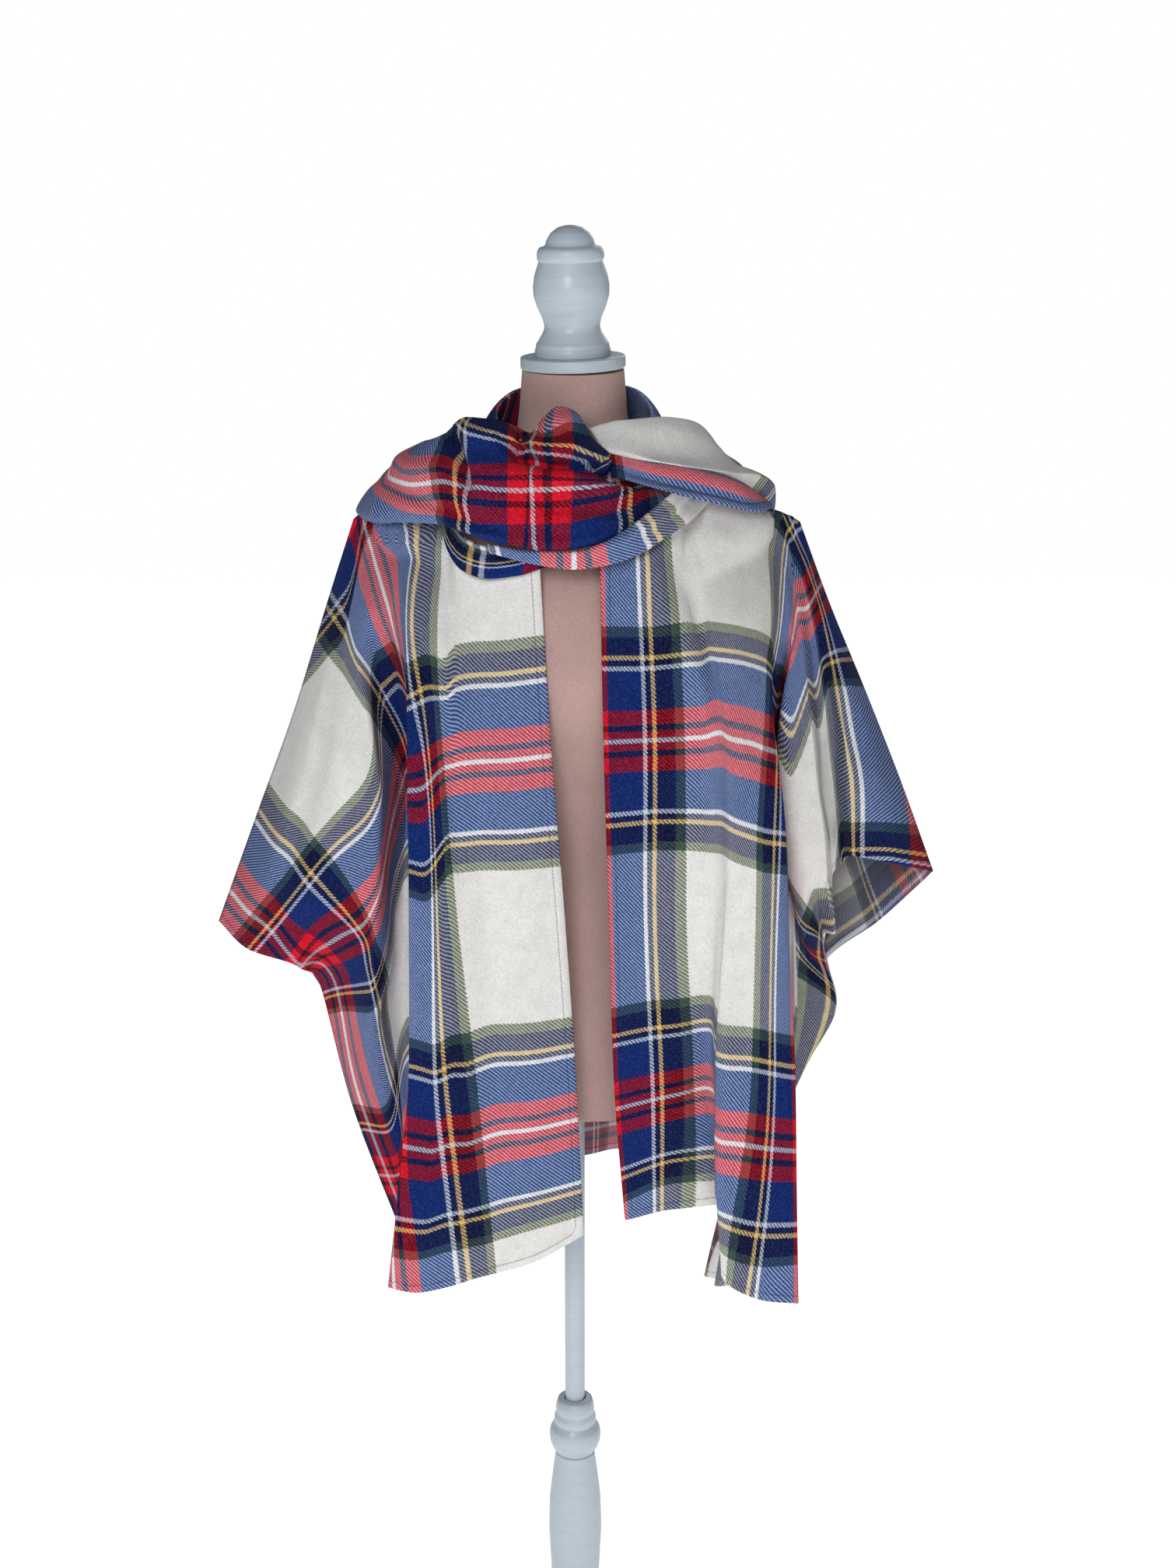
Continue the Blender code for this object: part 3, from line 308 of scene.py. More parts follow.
# The cloth across the front of the swathe: at each place along x (mm), heights (mm) and places across (cm)
SWATHE_CLOTH = (
    (-178, ((1381, 10.0), (1365, 13.0))), (-148, ((1402, 7.4), (1382, 10.25), (1358, 13.05), (1349, 14.0))),
    (-113, ((1420, 6.3), (1413, 7.2), (1390, 10.25), (1360, 13.05), (1348, 14.3))),
    (-87, ((1442, 1.9), (1435, 2.7), (1428, 3.7), (1405, 7.45), (1387, 10.25), (1357, 13.05), (1341, 14.6))),
    (-65, ((1439, 1.2), (1429, 2.7), (1424, 3.7), (1408, 7.3), (1386, 10.25), (1357, 13.05), (1334, 15.2))),
    (-43, ((1430, 0.6), (1422, 2.7), (1415, 3.7), (1407, 7.45), (1385, 10.25), (1357, 13.05), (1330, 15.6))),
    (-24, ((1442, -1.5), (1429, 0.0), (1421, 2.7), (1413, 3.7), (1406, 7.45), (1386, 10.25), (1357, 13.05))),
    (-4, ((1450, -2.5), (1437, 0.2), (1420, 2.7), (1412, 3.7), (1404, 7.0), (1387, 10.25), (1358, 13.05))),
    (25, ((1408, 2.4), (1405, 2.8), (1401, 3.7), (1396, 7.45), (1387, 10.25), (1363, 13.05), (1332, 16.0))),
    (48, ((1394, 7.0), (1387, 10.0), (1367, 13.05), (1343, 15.5))),
    (70, ((1385, 9.5), (1379, 11.0), (1372, 13.05), (1357, 15.0))),
)
# Creases pressed into the scarf: a line of (x, z) seen from the front, its half width and its height (mm)
SWATHE_FOLDS = (
    (((-62, 1424), (-43, 1411), (-24, 1407), (3, 1407), (23, 1400), (43, 1389), (64, 1381)), 3.6, -22),
    (((-66, 1431), (-43, 1421), (-20, 1419), (2, 1419), (20, 1411), (40, 1398)), 6.5, 11),
    (((-70, 1400), (-40, 1396), (0, 1394), (30, 1387)), 7, 6),
    (((-37, 1450), (-41, 1434), (-46, 1420)), 5, -22),
    (((-30, 1432), (-12, 1442), (6, 1436)), 9, 7),
    (((-112, 1434), (-102, 1417), (-95, 1402), (-92, 1380)), 4, -16),
    (((-94, 1436), (-82, 1431), (-62, 1430)), 8, 10),
    (((-84, 1412), (-80, 1392), (-78, 1372)), 8, 5),
    (((-170, 1376), (-130, 1371), (-90, 1358), (-60, 1350)), 6, -6),
    (((-174, 1392), (-140, 1396), (-108, 1402)), 8, 5),
    (((-130, 1350), (-90, 1345), (-50, 1340), (0, 1337), (40, 1346)), 6, 5),
    (((-36, 1372), (10, 1370), (60, 1362)), 7, -5),
    (((20, 1384), (44, 1380), (70, 1372)), 5, 4),
)
FALL_FOLDS = (
    (((40, 1426), (80, 1424), (120, 1410), (150, 1394)), 11, 4),
    (((56, 1411), (95, 1404), (135, 1393), (165, 1380)), 6, -4),
    (((80, 1416), (120, 1402)), 8, -2),
)
UNDER_FOLDS = (
    (((40, 1402), (66, 1396), (100, 1389), (130, 1380), (160, 1366)), 6, 2),
    (((40, 1395), (66, 1388), (100, 1379), (132, 1370), (168, 1357)), 2.5, -3.5),
)
BAND_FOLDS = ((((20, 1330), (52, 1342), (76, 1354), (100, 1368)), 4, 2.5),
              (((60, 1336), (84, 1350), (108, 1366)), 3, -2))
LOOP_FOLDS = (
    (((-112, 1345), (-100, 1330), (-80, 1323), (-50, 1319)), 3.5, -4),
    (((-108, 1352), (-96, 1334), (-70, 1326), (-46, 1322)), 3.5, 3),
)
# Valleys along the scarf where it lies behind: places across (-1 lower edge, 1 upper edge) at stations
# from start to end, width across, and depth (mm)
BACK_LINES = (((0.35, 0.3, 0.25), 0.16, 3.0), ((-0.35, -0.3, -0.4), 0.15, 2.6))
COLLAR_LINES = (((0.1, 0.2, 0.1), 0.2, 2.0),)

# Slow swells of the cloth: centimetres a radian across and down, start, height (mm)
DRAPE_WAVES = ((2.1, 13.0, 0.4, 0.9), (1.3, -17.0, 2.1, 0.6), (3.4, 6.5, 4.0, 0.9))
SEAM_FADE = 10             # grid steps over which creases and swells rise from a seam

# Creases of the panels: from and to on the cut cloth, half width (cm), height (mm, less than 0 a trough)
RIGHT_CREASES = (
    ((2.5, 24), (3.4, 74), 1.7, 3.2),
    ((6.6, 26), (8.2, 76), 1.5, -5.0),
    ((11.2, 40), (12.8, 77), 1.2, 3.4),
    ((40, 5), (57, 11), 1.8, 4.0),
    ((31, 8), (54, 23), 1.7, -4.5),
    ((26, 14), (49, 33), 1.6, 4.5),
    ((44, 36), (57, 21), 1.6, -4.0),
    ((34, 40), (52, 42), 1.6, 3.5),
    ((50, 30), (57, 36), 1.3, 3.0),
)
LEFT_CREASES = (
    ((4.2, 12), (11.5, 31), 1.3, 5.0),
    ((6.8, 11), (15, 32), 1.2, -6.5),
    ((2.4, 30), (3.6, 72), 1.7, 3.0),
    ((8.0, 42), (9.2, 76), 1.5, -5.4),
    ((15.6, 44), (16.4, 77), 1.3, -5.0),
    ((19.4, 48), (20.4, 78), 1.2, 4.0),
    ((34, 8), (58, 12), 1.7, -3.0),
    ((29, 12), (52, 20), 1.5, 3.0),
    ((46, 24), (60, 30), 1.5, -3.0),
)
BACK_CREASES = (
    ((-30, 3), (-58, 12), 1.7, 4.0),
    ((30, 3), (56, 12), 1.7, 4.0),
    ((-27, 12), (-52, 28), 1.6, -4.0),
    ((27, 12), (52, 28), 1.6, -4.0),
    ((-3.4, 10), (-2.6, 62), 2.2, -3.4),
    ((7.4, 18), (9.0, 70), 2.0, 3.0),
    ((-15, 22), (-20, 72), 1.8, -3.4),
    ((17, 20), (23, 72), 1.8, -3.4),
)

# The panels: piece, node, folds, side of the plane y = 0, creases, folds between which the lower edge is
# the closed side seam, flat size and area; then the tartan's start (u, v) in cm, its hand, and how far it
# is shifted at x over nought, where the back's second length of cloth begins
PANELS = (
    ("poncho_front_right", "front_right", FRONT_RIGHT, -1, RIGHT_CREASES, ((9, 11),), (0.62, 0.78), 0.355,
     ((-5.0, -19.8), -1, 0.0)),
    ("poncho_front_left", "front_left", FRONT_LEFT, -1, LEFT_CREASES, ((9, 12),), (0.62, 0.78), 0.355,
     ((12.7, -19.8), 1, 0.0)),
    ("poncho_back", "back", BACK, 1, BACK_CREASES, ((3, 5), (15, 18)), (1.24, 0.80), 0.70,
     ((30.0, 5.3), 1, -17.3)),
)

# The scarf's stretches: piece, node, sections, creases seen from the front, valleys behind, chart of the
# cloth across, flat size
SCARVES = (
    ("scarf_under_piece", "scarf_under", SCARF_UNDER, UNDER_FOLDS, (), None, (0.033, 0.15)),
    ("scarf_swathe_piece", "scarf_swathe", SCARF_SWATHE, SWATHE_FOLDS, BACK_LINES, SWATHE_CLOTH,
     (0.115, 0.62)),
    ("scarf_fall_piece", "scarf_fall", SCARF_FALL, FALL_FOLDS, BACK_LINES, None, (0.1, 0.455)),
    ("scarf_collar_piece", "scarf_collar", SCARF_COLLAR, (), COLLAR_LINES, None, (0.075, 0.27)),
    ("scarf_loop_piece", "scarf_loop", SCARF_LOOP, LOOP_FOLDS, (), None, (0.028, 0.145)),
    ("scarf_band_piece", "scarf_band", SCARF_BAND, BAND_FOLDS, (), None, (0.027, 0.17)),
)

# The tartan. Each stripe's two colours: where it crosses a coloured stripe, and where it crosses the cream
REPEAT = 35.0              # centimetres
TWILL_PITCH = 0.4          # centimetres
CREAM = (234, 232, 228)
GREEN = ((62, 84, 74), (152, 158, 132))
NAVY = ((13, 17, 56), (90, 97, 126))
NAVY_LINE = ((13, 17, 56), (96, 103, 132))
YELLOW = ((228, 196, 122), (230, 206, 156))
WHITE = ((204, 214, 230), (240, 242, 244))
MIDDLE_WHITE = ((206, 208, 218), (240, 240, 242))
BLUE = ((12, 38, 104), (72, 106, 166))
RED = ((212, 16, 40), (216, 90, 106))
DARK_LINE = ((18, 14, 48), (92, 84, 120))
HALF_SETT = ((0.90, GREEN), (1.60, NAVY), (0.45, YELLOW), (0.50, NAVY_LINE), (0.50, WHITE), (3.50, BLUE),
             (1.35, RED), (0.60, DARK_LINE), (0.60, RED))
SETT = HALF_SETT + ((0.50, MIDDLE_WHITE),) + HALF_SETT[::-1] + ((14.5, None),)


def linear(rgb):
    """A display colour of 0 to 255 a channel as linear light."""
    return tuple((c / 255 / 12.92) if c < 11 else ((c / 255 + 0.055) / 1.055) ** 2.4 for c in rgb)


def paint_of(rgb):
    return (*linear(rgb), 1.0)


# ---------------------------------------------------------------- surfaces

def spline(knots, steps):
    """Smooth interpolation along the first axis of knots that never swings past a knot."""
    knots = np.asarray(knots, float)
    count = len(knots)
    if isinstance(steps, int):
        steps = (steps,) * (count - 1)
    flat = knots.reshape(count, -1)
    gaps = np.linalg.norm(np.diff(flat, axis=0), axis=1) ** 0.5
    gaps = np.maximum(gaps, gaps.max() * 0.05)
    slopes = np.diff(flat, axis=0) / gaps[:, None]
    before = slopes[:-1]
    after = slopes[1:]
    tangents = np.empty_like(flat)
    tangents[0] = slopes[0]
    tangents[-1] = slopes[-1]
    turning = before * after <= 0
    tangents[1:-1] = np.where(turning, 0, 2 * before * after / np.where(turning, 1, before + after))
    rows = []
    for i in range(count - 1):
        for k in range(steps[i]):
            t = k / steps[i]
            rows.append(
                (2 * t**3 - 3 * t**2 + 1) * flat[i]
                + (t**3 - 2 * t**2 + t) * gaps[i] * tangents[i]
                + (3 * t**2 - 2 * t**3) * flat[i + 1]
                + (t**3 - t**2) * gaps[i] * tangents[i + 1]
            )
    rows.append(flat[-1])
    return np.array(rows).reshape((-1,) + knots.shape[1:])


def form_reach(points):
    """How far out points lie on the form's level ovals: 1 on its surface, more outside."""
    table = np.array(FORM_RINGS)
    heights = table[:, 0] * MM
    x, y, z = np.moveaxis(points, -1, 0)
    half, front, behind = (np.interp(z, heights, table[:, k]) * MM for k in (1, 2, 3))
    power = np.interp(z, heights, table[:, 4])
    depth = np.where(y < 0, front, behind)
    return (np.abs(x / half) ** power + np.abs(y / depth) ** power) ** (1 / power)


def form_gap(points):
    """About how far points are from the form's surface, with the slope of form_reach and its steepness."""
    probe = 0.4 * MM
    steps = np.eye(3) * probe
    slope = [(form_reach(points + step) - form_reach(points - step)) / (2 * probe) for step in steps]
    slope = np.stack(slope, axis=-1)
    steep = np.maximum(np.linalg.norm(slope, axis=-1), 1e-6)
    return (form_reach(points) - 1) / steep, slope, steep


def off_form(points, clearance):
    """The move that brings each point to clearance from the form's surface, nought where it is clear."""
    gap, slope, steep = form_gap(points)
    missing = clearance - gap
    missing = np.where(points[..., 2] < TORSO_BOTTOM - clearance, 0, np.clip(missing, 0, 0.02))
    return (missing / steep)[..., None] * slope


def settle(grid, clearance, on_plane, side, passes=6):
    """Lays a grid of points over the form and keeps it on its own side of the plane y = 0."""
    for _ in range(passes):
        grid += off_form(grid, clearance)
        if side:
            grid[..., 1] = side * np.maximum(side * grid[..., 1], SEAM)
            grid[on_plane, 1] = side * SEAM
    return grid


def normals_of(grid):
    """Unit normals at a grid's points: the mean of the unit normals of the faces around each."""
    face = np.cross(grid[1:, 1:] - grid[:-1, :-1], grid[:-1, 1:] - grid[1:, :-1])
    face /= np.maximum(np.linalg.norm(face, axis=2, keepdims=True), 1e-12)
    normals = np.zeros_like(grid)
    normals[:-1, :-1] += face
    normals[1:, :-1] += face
    normals[:-1, 1:] += face
    normals[1:, 1:] += face
    return normals / np.maximum(np.linalg.norm(normals, axis=2, keepdims=True), 1e-12)


def facing_out(along, point):
    """A unit vector square to along, in the plane y = 0, that faces away from the garment's middle."""
    square = np.array((along[2], 0.0, -along[0]))
    square /= max(np.linalg.norm(square), 1e-12)
    away = np.array((point[0], 0.0, point[2] - GARMENT_CENTRE))
    return square if square @ away > 0 else -square


def edge_normal(grid, i, j):
    """The normal at a border point on the plane y = 0, where two panels meet."""
    across, down = grid.shape[:2]
    total = np.zeros(3)
    if i in (0, across - 1):
        total += facing_out(grid[i, min(j + 1, down - 1)] - grid[i, max(j - 1, 0)], grid[i, j])
    if j in (0, down - 1):
        total += facing_out(grid[min(i + 1, across - 1), j] - grid[max(i - 1, 0), j], grid[i, j])
    return total / np.linalg.norm(total)


def link(name, mesh, materials):
    for material in materials:
        mesh.materials.append(material)
    mesh.shade_smooth()
    item = bpy.data.objects.new(name, mesh)
    bpy.context.scene.collection.objects.link(item)
    return item


def turn_faces_out(mesh, weld=False):
    body = bmesh.new()
    body.from_mesh(mesh)
    if weld:
        bmesh.ops.remove_doubles(body, verts=body.verts, dist=1e-6)
    bmesh.ops.recalc_face_normals(body, faces=body.faces)
    body.to_mesh(mesh)
    body.free()


def put_uv(mesh, name, values, shift=0.0):
    """A UV map from one value for each vertex, with shift added to u on the faces at x over nought."""
    layer = mesh.uv_layers.new(name=name)
    index = np.empty(len(mesh.loops), dtype=np.int64)
    mesh.loops.foreach_get("vertex_index", index)
    corners = np.asarray(values, float)[index]
    if shift:
        centres = np.empty(3 * len(mesh.polygons))
        sizes = np.empty(len(mesh.polygons), dtype=np.int64)
        mesh.polygons.foreach_get("center", centres)
        mesh.polygons.foreach_get("loop_total", sizes)
        corners[np.repeat(centres[::3] > 0, sizes), 0] += shift
    layer.data.foreach_set("uv", corners.astype(np.float32).ravel())


def grid_faces(across, down, start=0):
    """Four-sided faces of a grid whose points are numbered from start, down first."""
    i, j = np.meshgrid(np.arange(across - 1), np.arange(down - 1), indexing="ij")
    a = (start + i * down + j).ravel()
    return np.stack([a, a + 1, a + down + 1, a + down], axis=1)


# ---------------------------------------------------------------- panels

def sheet_mesh(name, outer, inner, tartan, hem, shift, materials):
    """A closed thin wall between two grids, its rim rounded: outer face material 0, inner face 1."""
    across, down = outer.shape[:2]
    layer = across * down
    rim = [(i, 0) for i in range(across)] + [(across - 1, j) for j in range(1, down)]
    rim += [(i, down - 1) for i in range(across - 2, -1, -1)] + [(0, j) for j in range(down - 2, 0, -1)]
    ids = np.array([i * down + j for i, j in rim])
    middle = (outer + inner).reshape(-1, 3)[ids] / 2
    wall = (outer - inner).reshape(-1, 3)[ids]
    flat = outer.reshape(-1, 3)
    inside = np.array([outer[min(max(i, 1), across - 2), min(max(j, 1), down - 2)] for i, j in rim])
    out = flat[ids] - inside
    out -= wall * (np.sum(out * wall, axis=1) / np.maximum(np.sum(wall**2, axis=1), 1e-12))[:, None]
    out /= np.maximum(np.linalg.norm(out, axis=1, keepdims=True), 1e-12)
    middle = middle + out * WALL * 0.32
    points = np.concatenate([flat, inner.reshape(-1, 3), middle])
    front = grid_faces(across, down)
    behind = grid_faces(across, down, layer)[:, ::-1]
    following = np.roll(ids, -1)
    edge = 2 * layer + np.arange(len(ids))
    edge_following = np.roll(edge, -1)
    rim_out = np.stack([ids, following, edge_following, edge], axis=1)
    rim_in = np.stack([edge, edge_following, following + layer, ids + layer], axis=1)
    faces = np.concatenate([front, rim_out, rim_in, behind])
    kinds = np.concatenate([np.zeros(len(front) + len(rim_out)), np.ones(len(rim_in) + len(behind))])
    mesh = bpy.data.meshes.new(name)
    mesh.from_pydata(points.tolist(), [], faces.tolist())
    for uv_name, values, moved in (("tartan", tartan, shift), ("hem", hem, 0.0)):
        values = values.reshape(-1, 2)
        put_uv(mesh, uv_name, np.concatenate([values, values, values[ids]]), moved)
    mesh.polygons.foreach_set("material_index", kinds.astype(np.int32))
    turn_faces_out(mesh)
    return link(name, mesh, materials)


def cut_knots(fold):
    """The cut coordinates, in metres, at a fold's five places."""
    places = np.array(fold[:5], float)
    cut = np.array(fold[5], float)
    if len(cut) == 2:
        run = np.concatenate([[0], np.cumsum(np.linalg.norm(np.diff(places, axis=0), axis=1))])
        cut = cut[0] + (cut[1] - cut[0]) * (run / run[-1])[:, None]
    return cut * CM


def crease(grid, normals, cut, on_plane, creases):
    """Soft ridges and troughs along lines drawn on the cut cloth, and slow swells, fading at the seams."""
    free = 1.0 - on_plane.astype(float)
    for _ in range(SEAM_FADE):
        near = np.minimum(np.roll(free, 1, 0), np.roll(free, -1, 0))
        near = np.minimum(near, np.minimum(np.roll(free, 1, 1), np.roll(free, -1, 1)))
        free = np.minimum(free, near * 0.9 + 0.1)
    lift = np.zeros(grid.shape[:2])
    for start, end, width, height in creases:
        start = np.array(start) * CM
        line = np.array(end) * CM - start
        t = np.clip(((cut - start) @ line) / (line @ line), 0, 1)
        gap = np.linalg.norm(cut - start - t[..., None] * line, axis=-1)
        taper = np.sin(math.pi * np.clip(t * 0.9 + 0.05, 0, 1))
        lift += height * MM * np.exp(-((gap / (width * CM)) ** 2)) * taper
    for across, down, start, height in DRAPE_WAVES:
        swell = np.sin(cut[..., 0] / CM / across + cut[..., 1] / CM / down + start)
        lift += height * MM * swell * np.sin(cut[..., 1] / CM / 9.0 + start * 1.7)
    return grid + normals * (lift * free)[..., None]


def hem_distances(outer, side, seams):
    """How far each point lies from a hemmed edge: the lower edge, and the front edge or the centre-back
    seam. A metre stands for far away, on the folds whose lower edge is the closed side seam."""
    steps = np.linalg.norm(np.diff(outer, axis=1), axis=2)
    below = np.cumsum(steps[:, ::-1], axis=1)[:, ::-1]
    below = np.concatenate([below, np.zeros((len(outer), 1))], axis=1)
    for first, last in seams:
        below[first * ACROSS + 1: last * ACROSS] = 1.0
    if side > 0:
        return np.minimum(below, np.abs(outer[..., 0]))
    steps = np.linalg.norm(np.diff(outer, axis=0), axis=2)
    inward = np.concatenate([np.zeros((1, outer.shape[1])), np.cumsum(steps, axis=0)])
    return np.minimum(below, inward)


def cloth_panel(name, folds, side, creases, seams, phase, materials):
    """A cloth panel through its folds, with its tartan laid by the cut coordinates."""
    knots = np.array([fold[:5] for fold in folds], float) * MM
    cut = np.array([cut_knots(fold) for fold in folds])
    both = np.concatenate([knots, cut], axis=2)
    down = np.transpose(spline(np.transpose(both, (1, 0, 2)), DOWN), (1, 0, 2))
    both = spline(down, ACROSS)
    grid = np.ascontiguousarray(both[..., :3])
    cut = both[..., 3:]
    on_plane = np.zeros(grid.shape[:2], bool)
    for j in (0, -1):
        on_plane[:, j] = side * grid[:, j, 1] < SEAM
    on_plane[-1, :] = True
    if side > 0:
        on_plane[0, :] = True
    clearance = WALL + FORM_GAP
    grid = settle(grid, clearance, on_plane, side)
    normals = normals_of(grid)
    # the strip along the front edge, or the middle of the back, tells which way the normals face
    facing = normals[: 2 * ACROSS] if side < 0 else normals[8 * ACROSS: 12 * ACROSS]
    turn = -1 if facing[..., 1].mean() * side < 0 else 1
    grid = crease(grid, normals * turn, cut, on_plane, creases)
    grid = settle(grid, clearance, on_plane, side)
    normals = normals_of(grid) * turn
    for i, j in np.argwhere(on_plane):
        normals[i, j] = edge_normal(grid, i, j)
    inner = grid - WALL * normals
    eased = settle(inner.copy(), INNER_GAP, on_plane, side)
    outer = grid + eased - inner
    start, hand, shift = phase
    tartan = (cut * (hand, 1) + np.array(start) * CM) / (REPEAT * CM)
    hem = np.stack([hem_distances(outer, side, seams), cut[..., 0] + cut[..., 1]], axis=2)
    return sheet_mesh(name, outer, eased, tartan, hem, shift / REPEAT, materials)


# ---------------------------------------------------------------- scarf

def band_points(rows, steps, sides):
    """Sections of a flattened closed form through a stretch's rows."""
    upper = spline([np.array(row[0]) * MM for row in rows], steps)
    lower = spline([np.array(row[1]) * MM for row in rows], steps)
    sizes = spline([np.array(row[2:4], float) * MM for row in rows], steps)
    centre = (upper + lower) / 2
    travel = np.gradient(centre, axis=0)
    width = upper - lower
    face = np.cross(width, travel)
    face /= np.linalg.norm(face, axis=1, keepdims=True)
    angle = 2 * np.pi * np.arange(sides) / sides
    along = np.sign(np.cos(angle)) * np.abs(np.cos(angle)) ** 0.8
    out = np.sign(np.sin(angle)) * np.abs(np.sin(angle)) ** 0.8
    bulge = sizes[:, 1:] * (1 - along * along)
    shift = sizes[:, :1] / 2 * out + bulge
    return (centre[:, None] + width[:, None] / 2 * along[None, :, None] + face[:, None] * shift[..., None],
            face, along, out, centre)


def press(points, face, outside, lines):
    """Creases along lines seen from the front, fading out where the scarf turns away behind."""
    lift = np.zeros(points.shape[:2])
    seen = points[..., [0, 2]]
    ahead = np.clip((0.02 - points[..., 1]) / 0.04, 0, 1)
    for line, width, height in lines:
        gap = np.full(lift.shape, 1.0)
        taper = np.ones(lift.shape)
        for k in range(len(line) - 1):
            start = np.array(line[k]) * MM
            run = np.array(line[k + 1]) * MM - start
            t = np.clip(((seen - start) @ run) / (run @ run), 0, 1)
            away = np.linalg.norm(seen - start - t[..., None] * run, axis=-1)
            nearer = away < gap
            gap = np.where(nearer, away, gap)
            place = (k + t) / (len(line) - 1)
            taper = np.where(nearer, np.clip(np.minimum(place, 1 - place) * 5 + 0.25, 0, 1), taper)
        lift += height * MM * np.exp(-((gap / (width * MM)) ** 2)) * taper
    return points + face[:, None] * (lift * ahead * outside)[..., None]


def sink_valleys(points, face, along, outside, run, valleys):
    """Valleys along the length, where the scarf lies behind: places across (-1 lower edge, 1 upper edge)
    at stations from start to end, width across and depth (mm)."""
    behind = np.clip((points[..., 1] + 0.02) / 0.06, 0, 1)
    for places, broad, depth in valleys:
        at = np.interp(run / run[-1], np.linspace(0, 1, len(places)), places)
        gap = (along[None, :] - at[:, None]) / broad
        dip = depth * MM * np.exp(-gap * gap) * outside[None, :] * behind
        points = points - face[:, None] * dip[..., None]
    return points


def fill_to_shoulders(points, face, out):
    """The scarf's inner layers, let down on to the shoulders where the strip passes over them."""
    y = points[..., 1]
    over = np.clip((y + 0.075) / 0.04, 0, 1) * np.clip((0.115 - y) / 0.05, 0, 1)
    over = over * np.clip((np.abs(points[..., 0]) - 0.07) / 0.02, 0, 1) * np.clip(-out, 0, 1) ** 0.5
    drop = np.zeros(points.shape[:2])
    for _ in range(14):
        gap = form_gap(points - face[:, None] * drop[..., None])[0]
        drop += 0.5 * np.clip(gap - LAYERS_GAP, 0, 0.01)
    drop = np.minimum(drop, DEEPEST_LAYERS)
    return points - face[:, None] * (drop * over)[..., None]


def cloth_across(points, chart):
    """Places across the cloth, in centimetres, read from a chart of heights at several places along x."""
    columns = []
    for _, pairs in chart:
        pairs = pairs[::-1]
        first, last = pairs[0], pairs[-1]
        pairs = ((first[0] - 60, first[1] + 6.0),) + pairs + ((last[0] + 60, last[1] - 6.0),)
        heights = [pair[0] * MM for pair in pairs]
        columns.append(np.interp(points[..., 2], heights, [pair[1] for pair in pairs]))
    columns = np.array(columns)
    spot = np.interp(points[..., 0], [x * MM for x, _ in chart], np.arange(len(chart)))
    low = np.minimum(spot.astype(int), len(chart) - 2)
    t = spot - low
    t = t * t * (3 - 2 * t) * 0.5 + t * 0.5
    lower = np.take_along_axis(columns, low[None], axis=0)[0]
    upper = np.take_along_axis(columns, low[None] + 1, axis=0)[0]
    return lower * (1 - t) + upper * t


def scarf_stretch(name, node, rows, lines, valleys, chart, materials):
    """A folded length of scarf, pressed with its creases, with its tartan laid along and across it."""
    steps = 14 if len(rows) < 12 else 10
    points, face, along, out, centre = band_points(rows, steps, SCARF_SIDES)
    run = np.concatenate([[0], np.cumsum(np.linalg.norm(np.diff(centre, axis=0), axis=1))])
    # face and out are turned, where need be, so that both point away from the form
    slope = form_gap(centre)[1]
    if np.sum(face * slope) < 0:
        face = -face
        out = -out
    outside = np.clip(out, 0, 1) ** 0.6
    cloth = spline([np.array(row[4:7], float) for row in rows], steps)
    v = np.repeat(cloth[:, :1], SCARF_SIDES, axis=1)
    u = cloth[:, 1:2] * (1 + along) / 2 + cloth[:, 2:3] * (1 - along) / 2
    if chart:
        ahead = np.clip((0.012 - points[..., 1]) / 0.05, 0, 1)
        u = u + (cloth_across(points, chart) - u) * ahead
    points = press(points, face, outside, lines)
    points = sink_valleys(points, face, along, outside, run, valleys)
    if node in ("scarf_fall", "scarf_swathe"):
        points = fill_to_shoulders(points, face, out)
    # the solid, a form of 12 sides, was slid along one axis until it rested on its neighbour: so is this
    solid = band_points(rows, 2, 12)[0].reshape(-1, 3)
    axis = 1 if node in ("scarf_loop", "scarf_band") else 2
    points[..., axis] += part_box(node)[0][axis] - solid.min(axis=0)[axis]
    girth = np.linalg.norm(points[:, 0] - points[:, SCARF_SIDES // 2], axis=1)
    inward = (1 + along)[None, :] / 2 * girth[:, None]
    hem = np.stack([inward, np.repeat(run[:, None], SCARF_SIDES, axis=1)], axis=2)
    tartan = np.stack([u, v], axis=2) / REPEAT
    # the ring is closed with a second copy of its first line, so that the tartan runs right round
    ring, tartan, hem = (np.concatenate([part, part[:, :1]], axis=1) for part in (points, tartan, hem))
    count = len(points)
    faces = grid_faces(count, SCARF_SIDES + 1).tolist()
    flat = ring.reshape(-1, 3).tolist()
    uv = tartan.reshape(-1, 2).tolist()
    edge = hem.reshape(-1, 2).tolist()
    for end in (0, count - 1):
        flat.append(ring[end, :-1].mean(axis=0).tolist())
        uv.append(tartan[end].mean(axis=0).tolist())
        edge.append((1.0, 0.0))
        tip = len(flat) - 1
        for k in range(SCARF_SIDES):
            a = end * (SCARF_SIDES + 1) + k
            faces.append((a, a + 1, tip) if end else (a + 1, a, tip))
    mesh = bpy.data.meshes.new(name)
    mesh.from_pydata(flat, [], faces)
    put_uv(mesh, "tartan", uv)
    put_uv(mesh, "hem", edge if node == "scarf_under" else np.ones((len(flat), 2)))
    turn_faces_out(mesh, weld=True)
    return link(name, mesh, materials)


# ---------------------------------------------------------------- form and stand

def ring_faces(count, sides):
    """Faces between rings of points, each ring joined to the next."""
    faces = []
    for i in range(count - 1):
        for k in range(sides):
            a = i * sides
            n = (k + 1) % sides
            faces.append((a + k, a + n, a + sides + n, a + sides + k))
    return faces


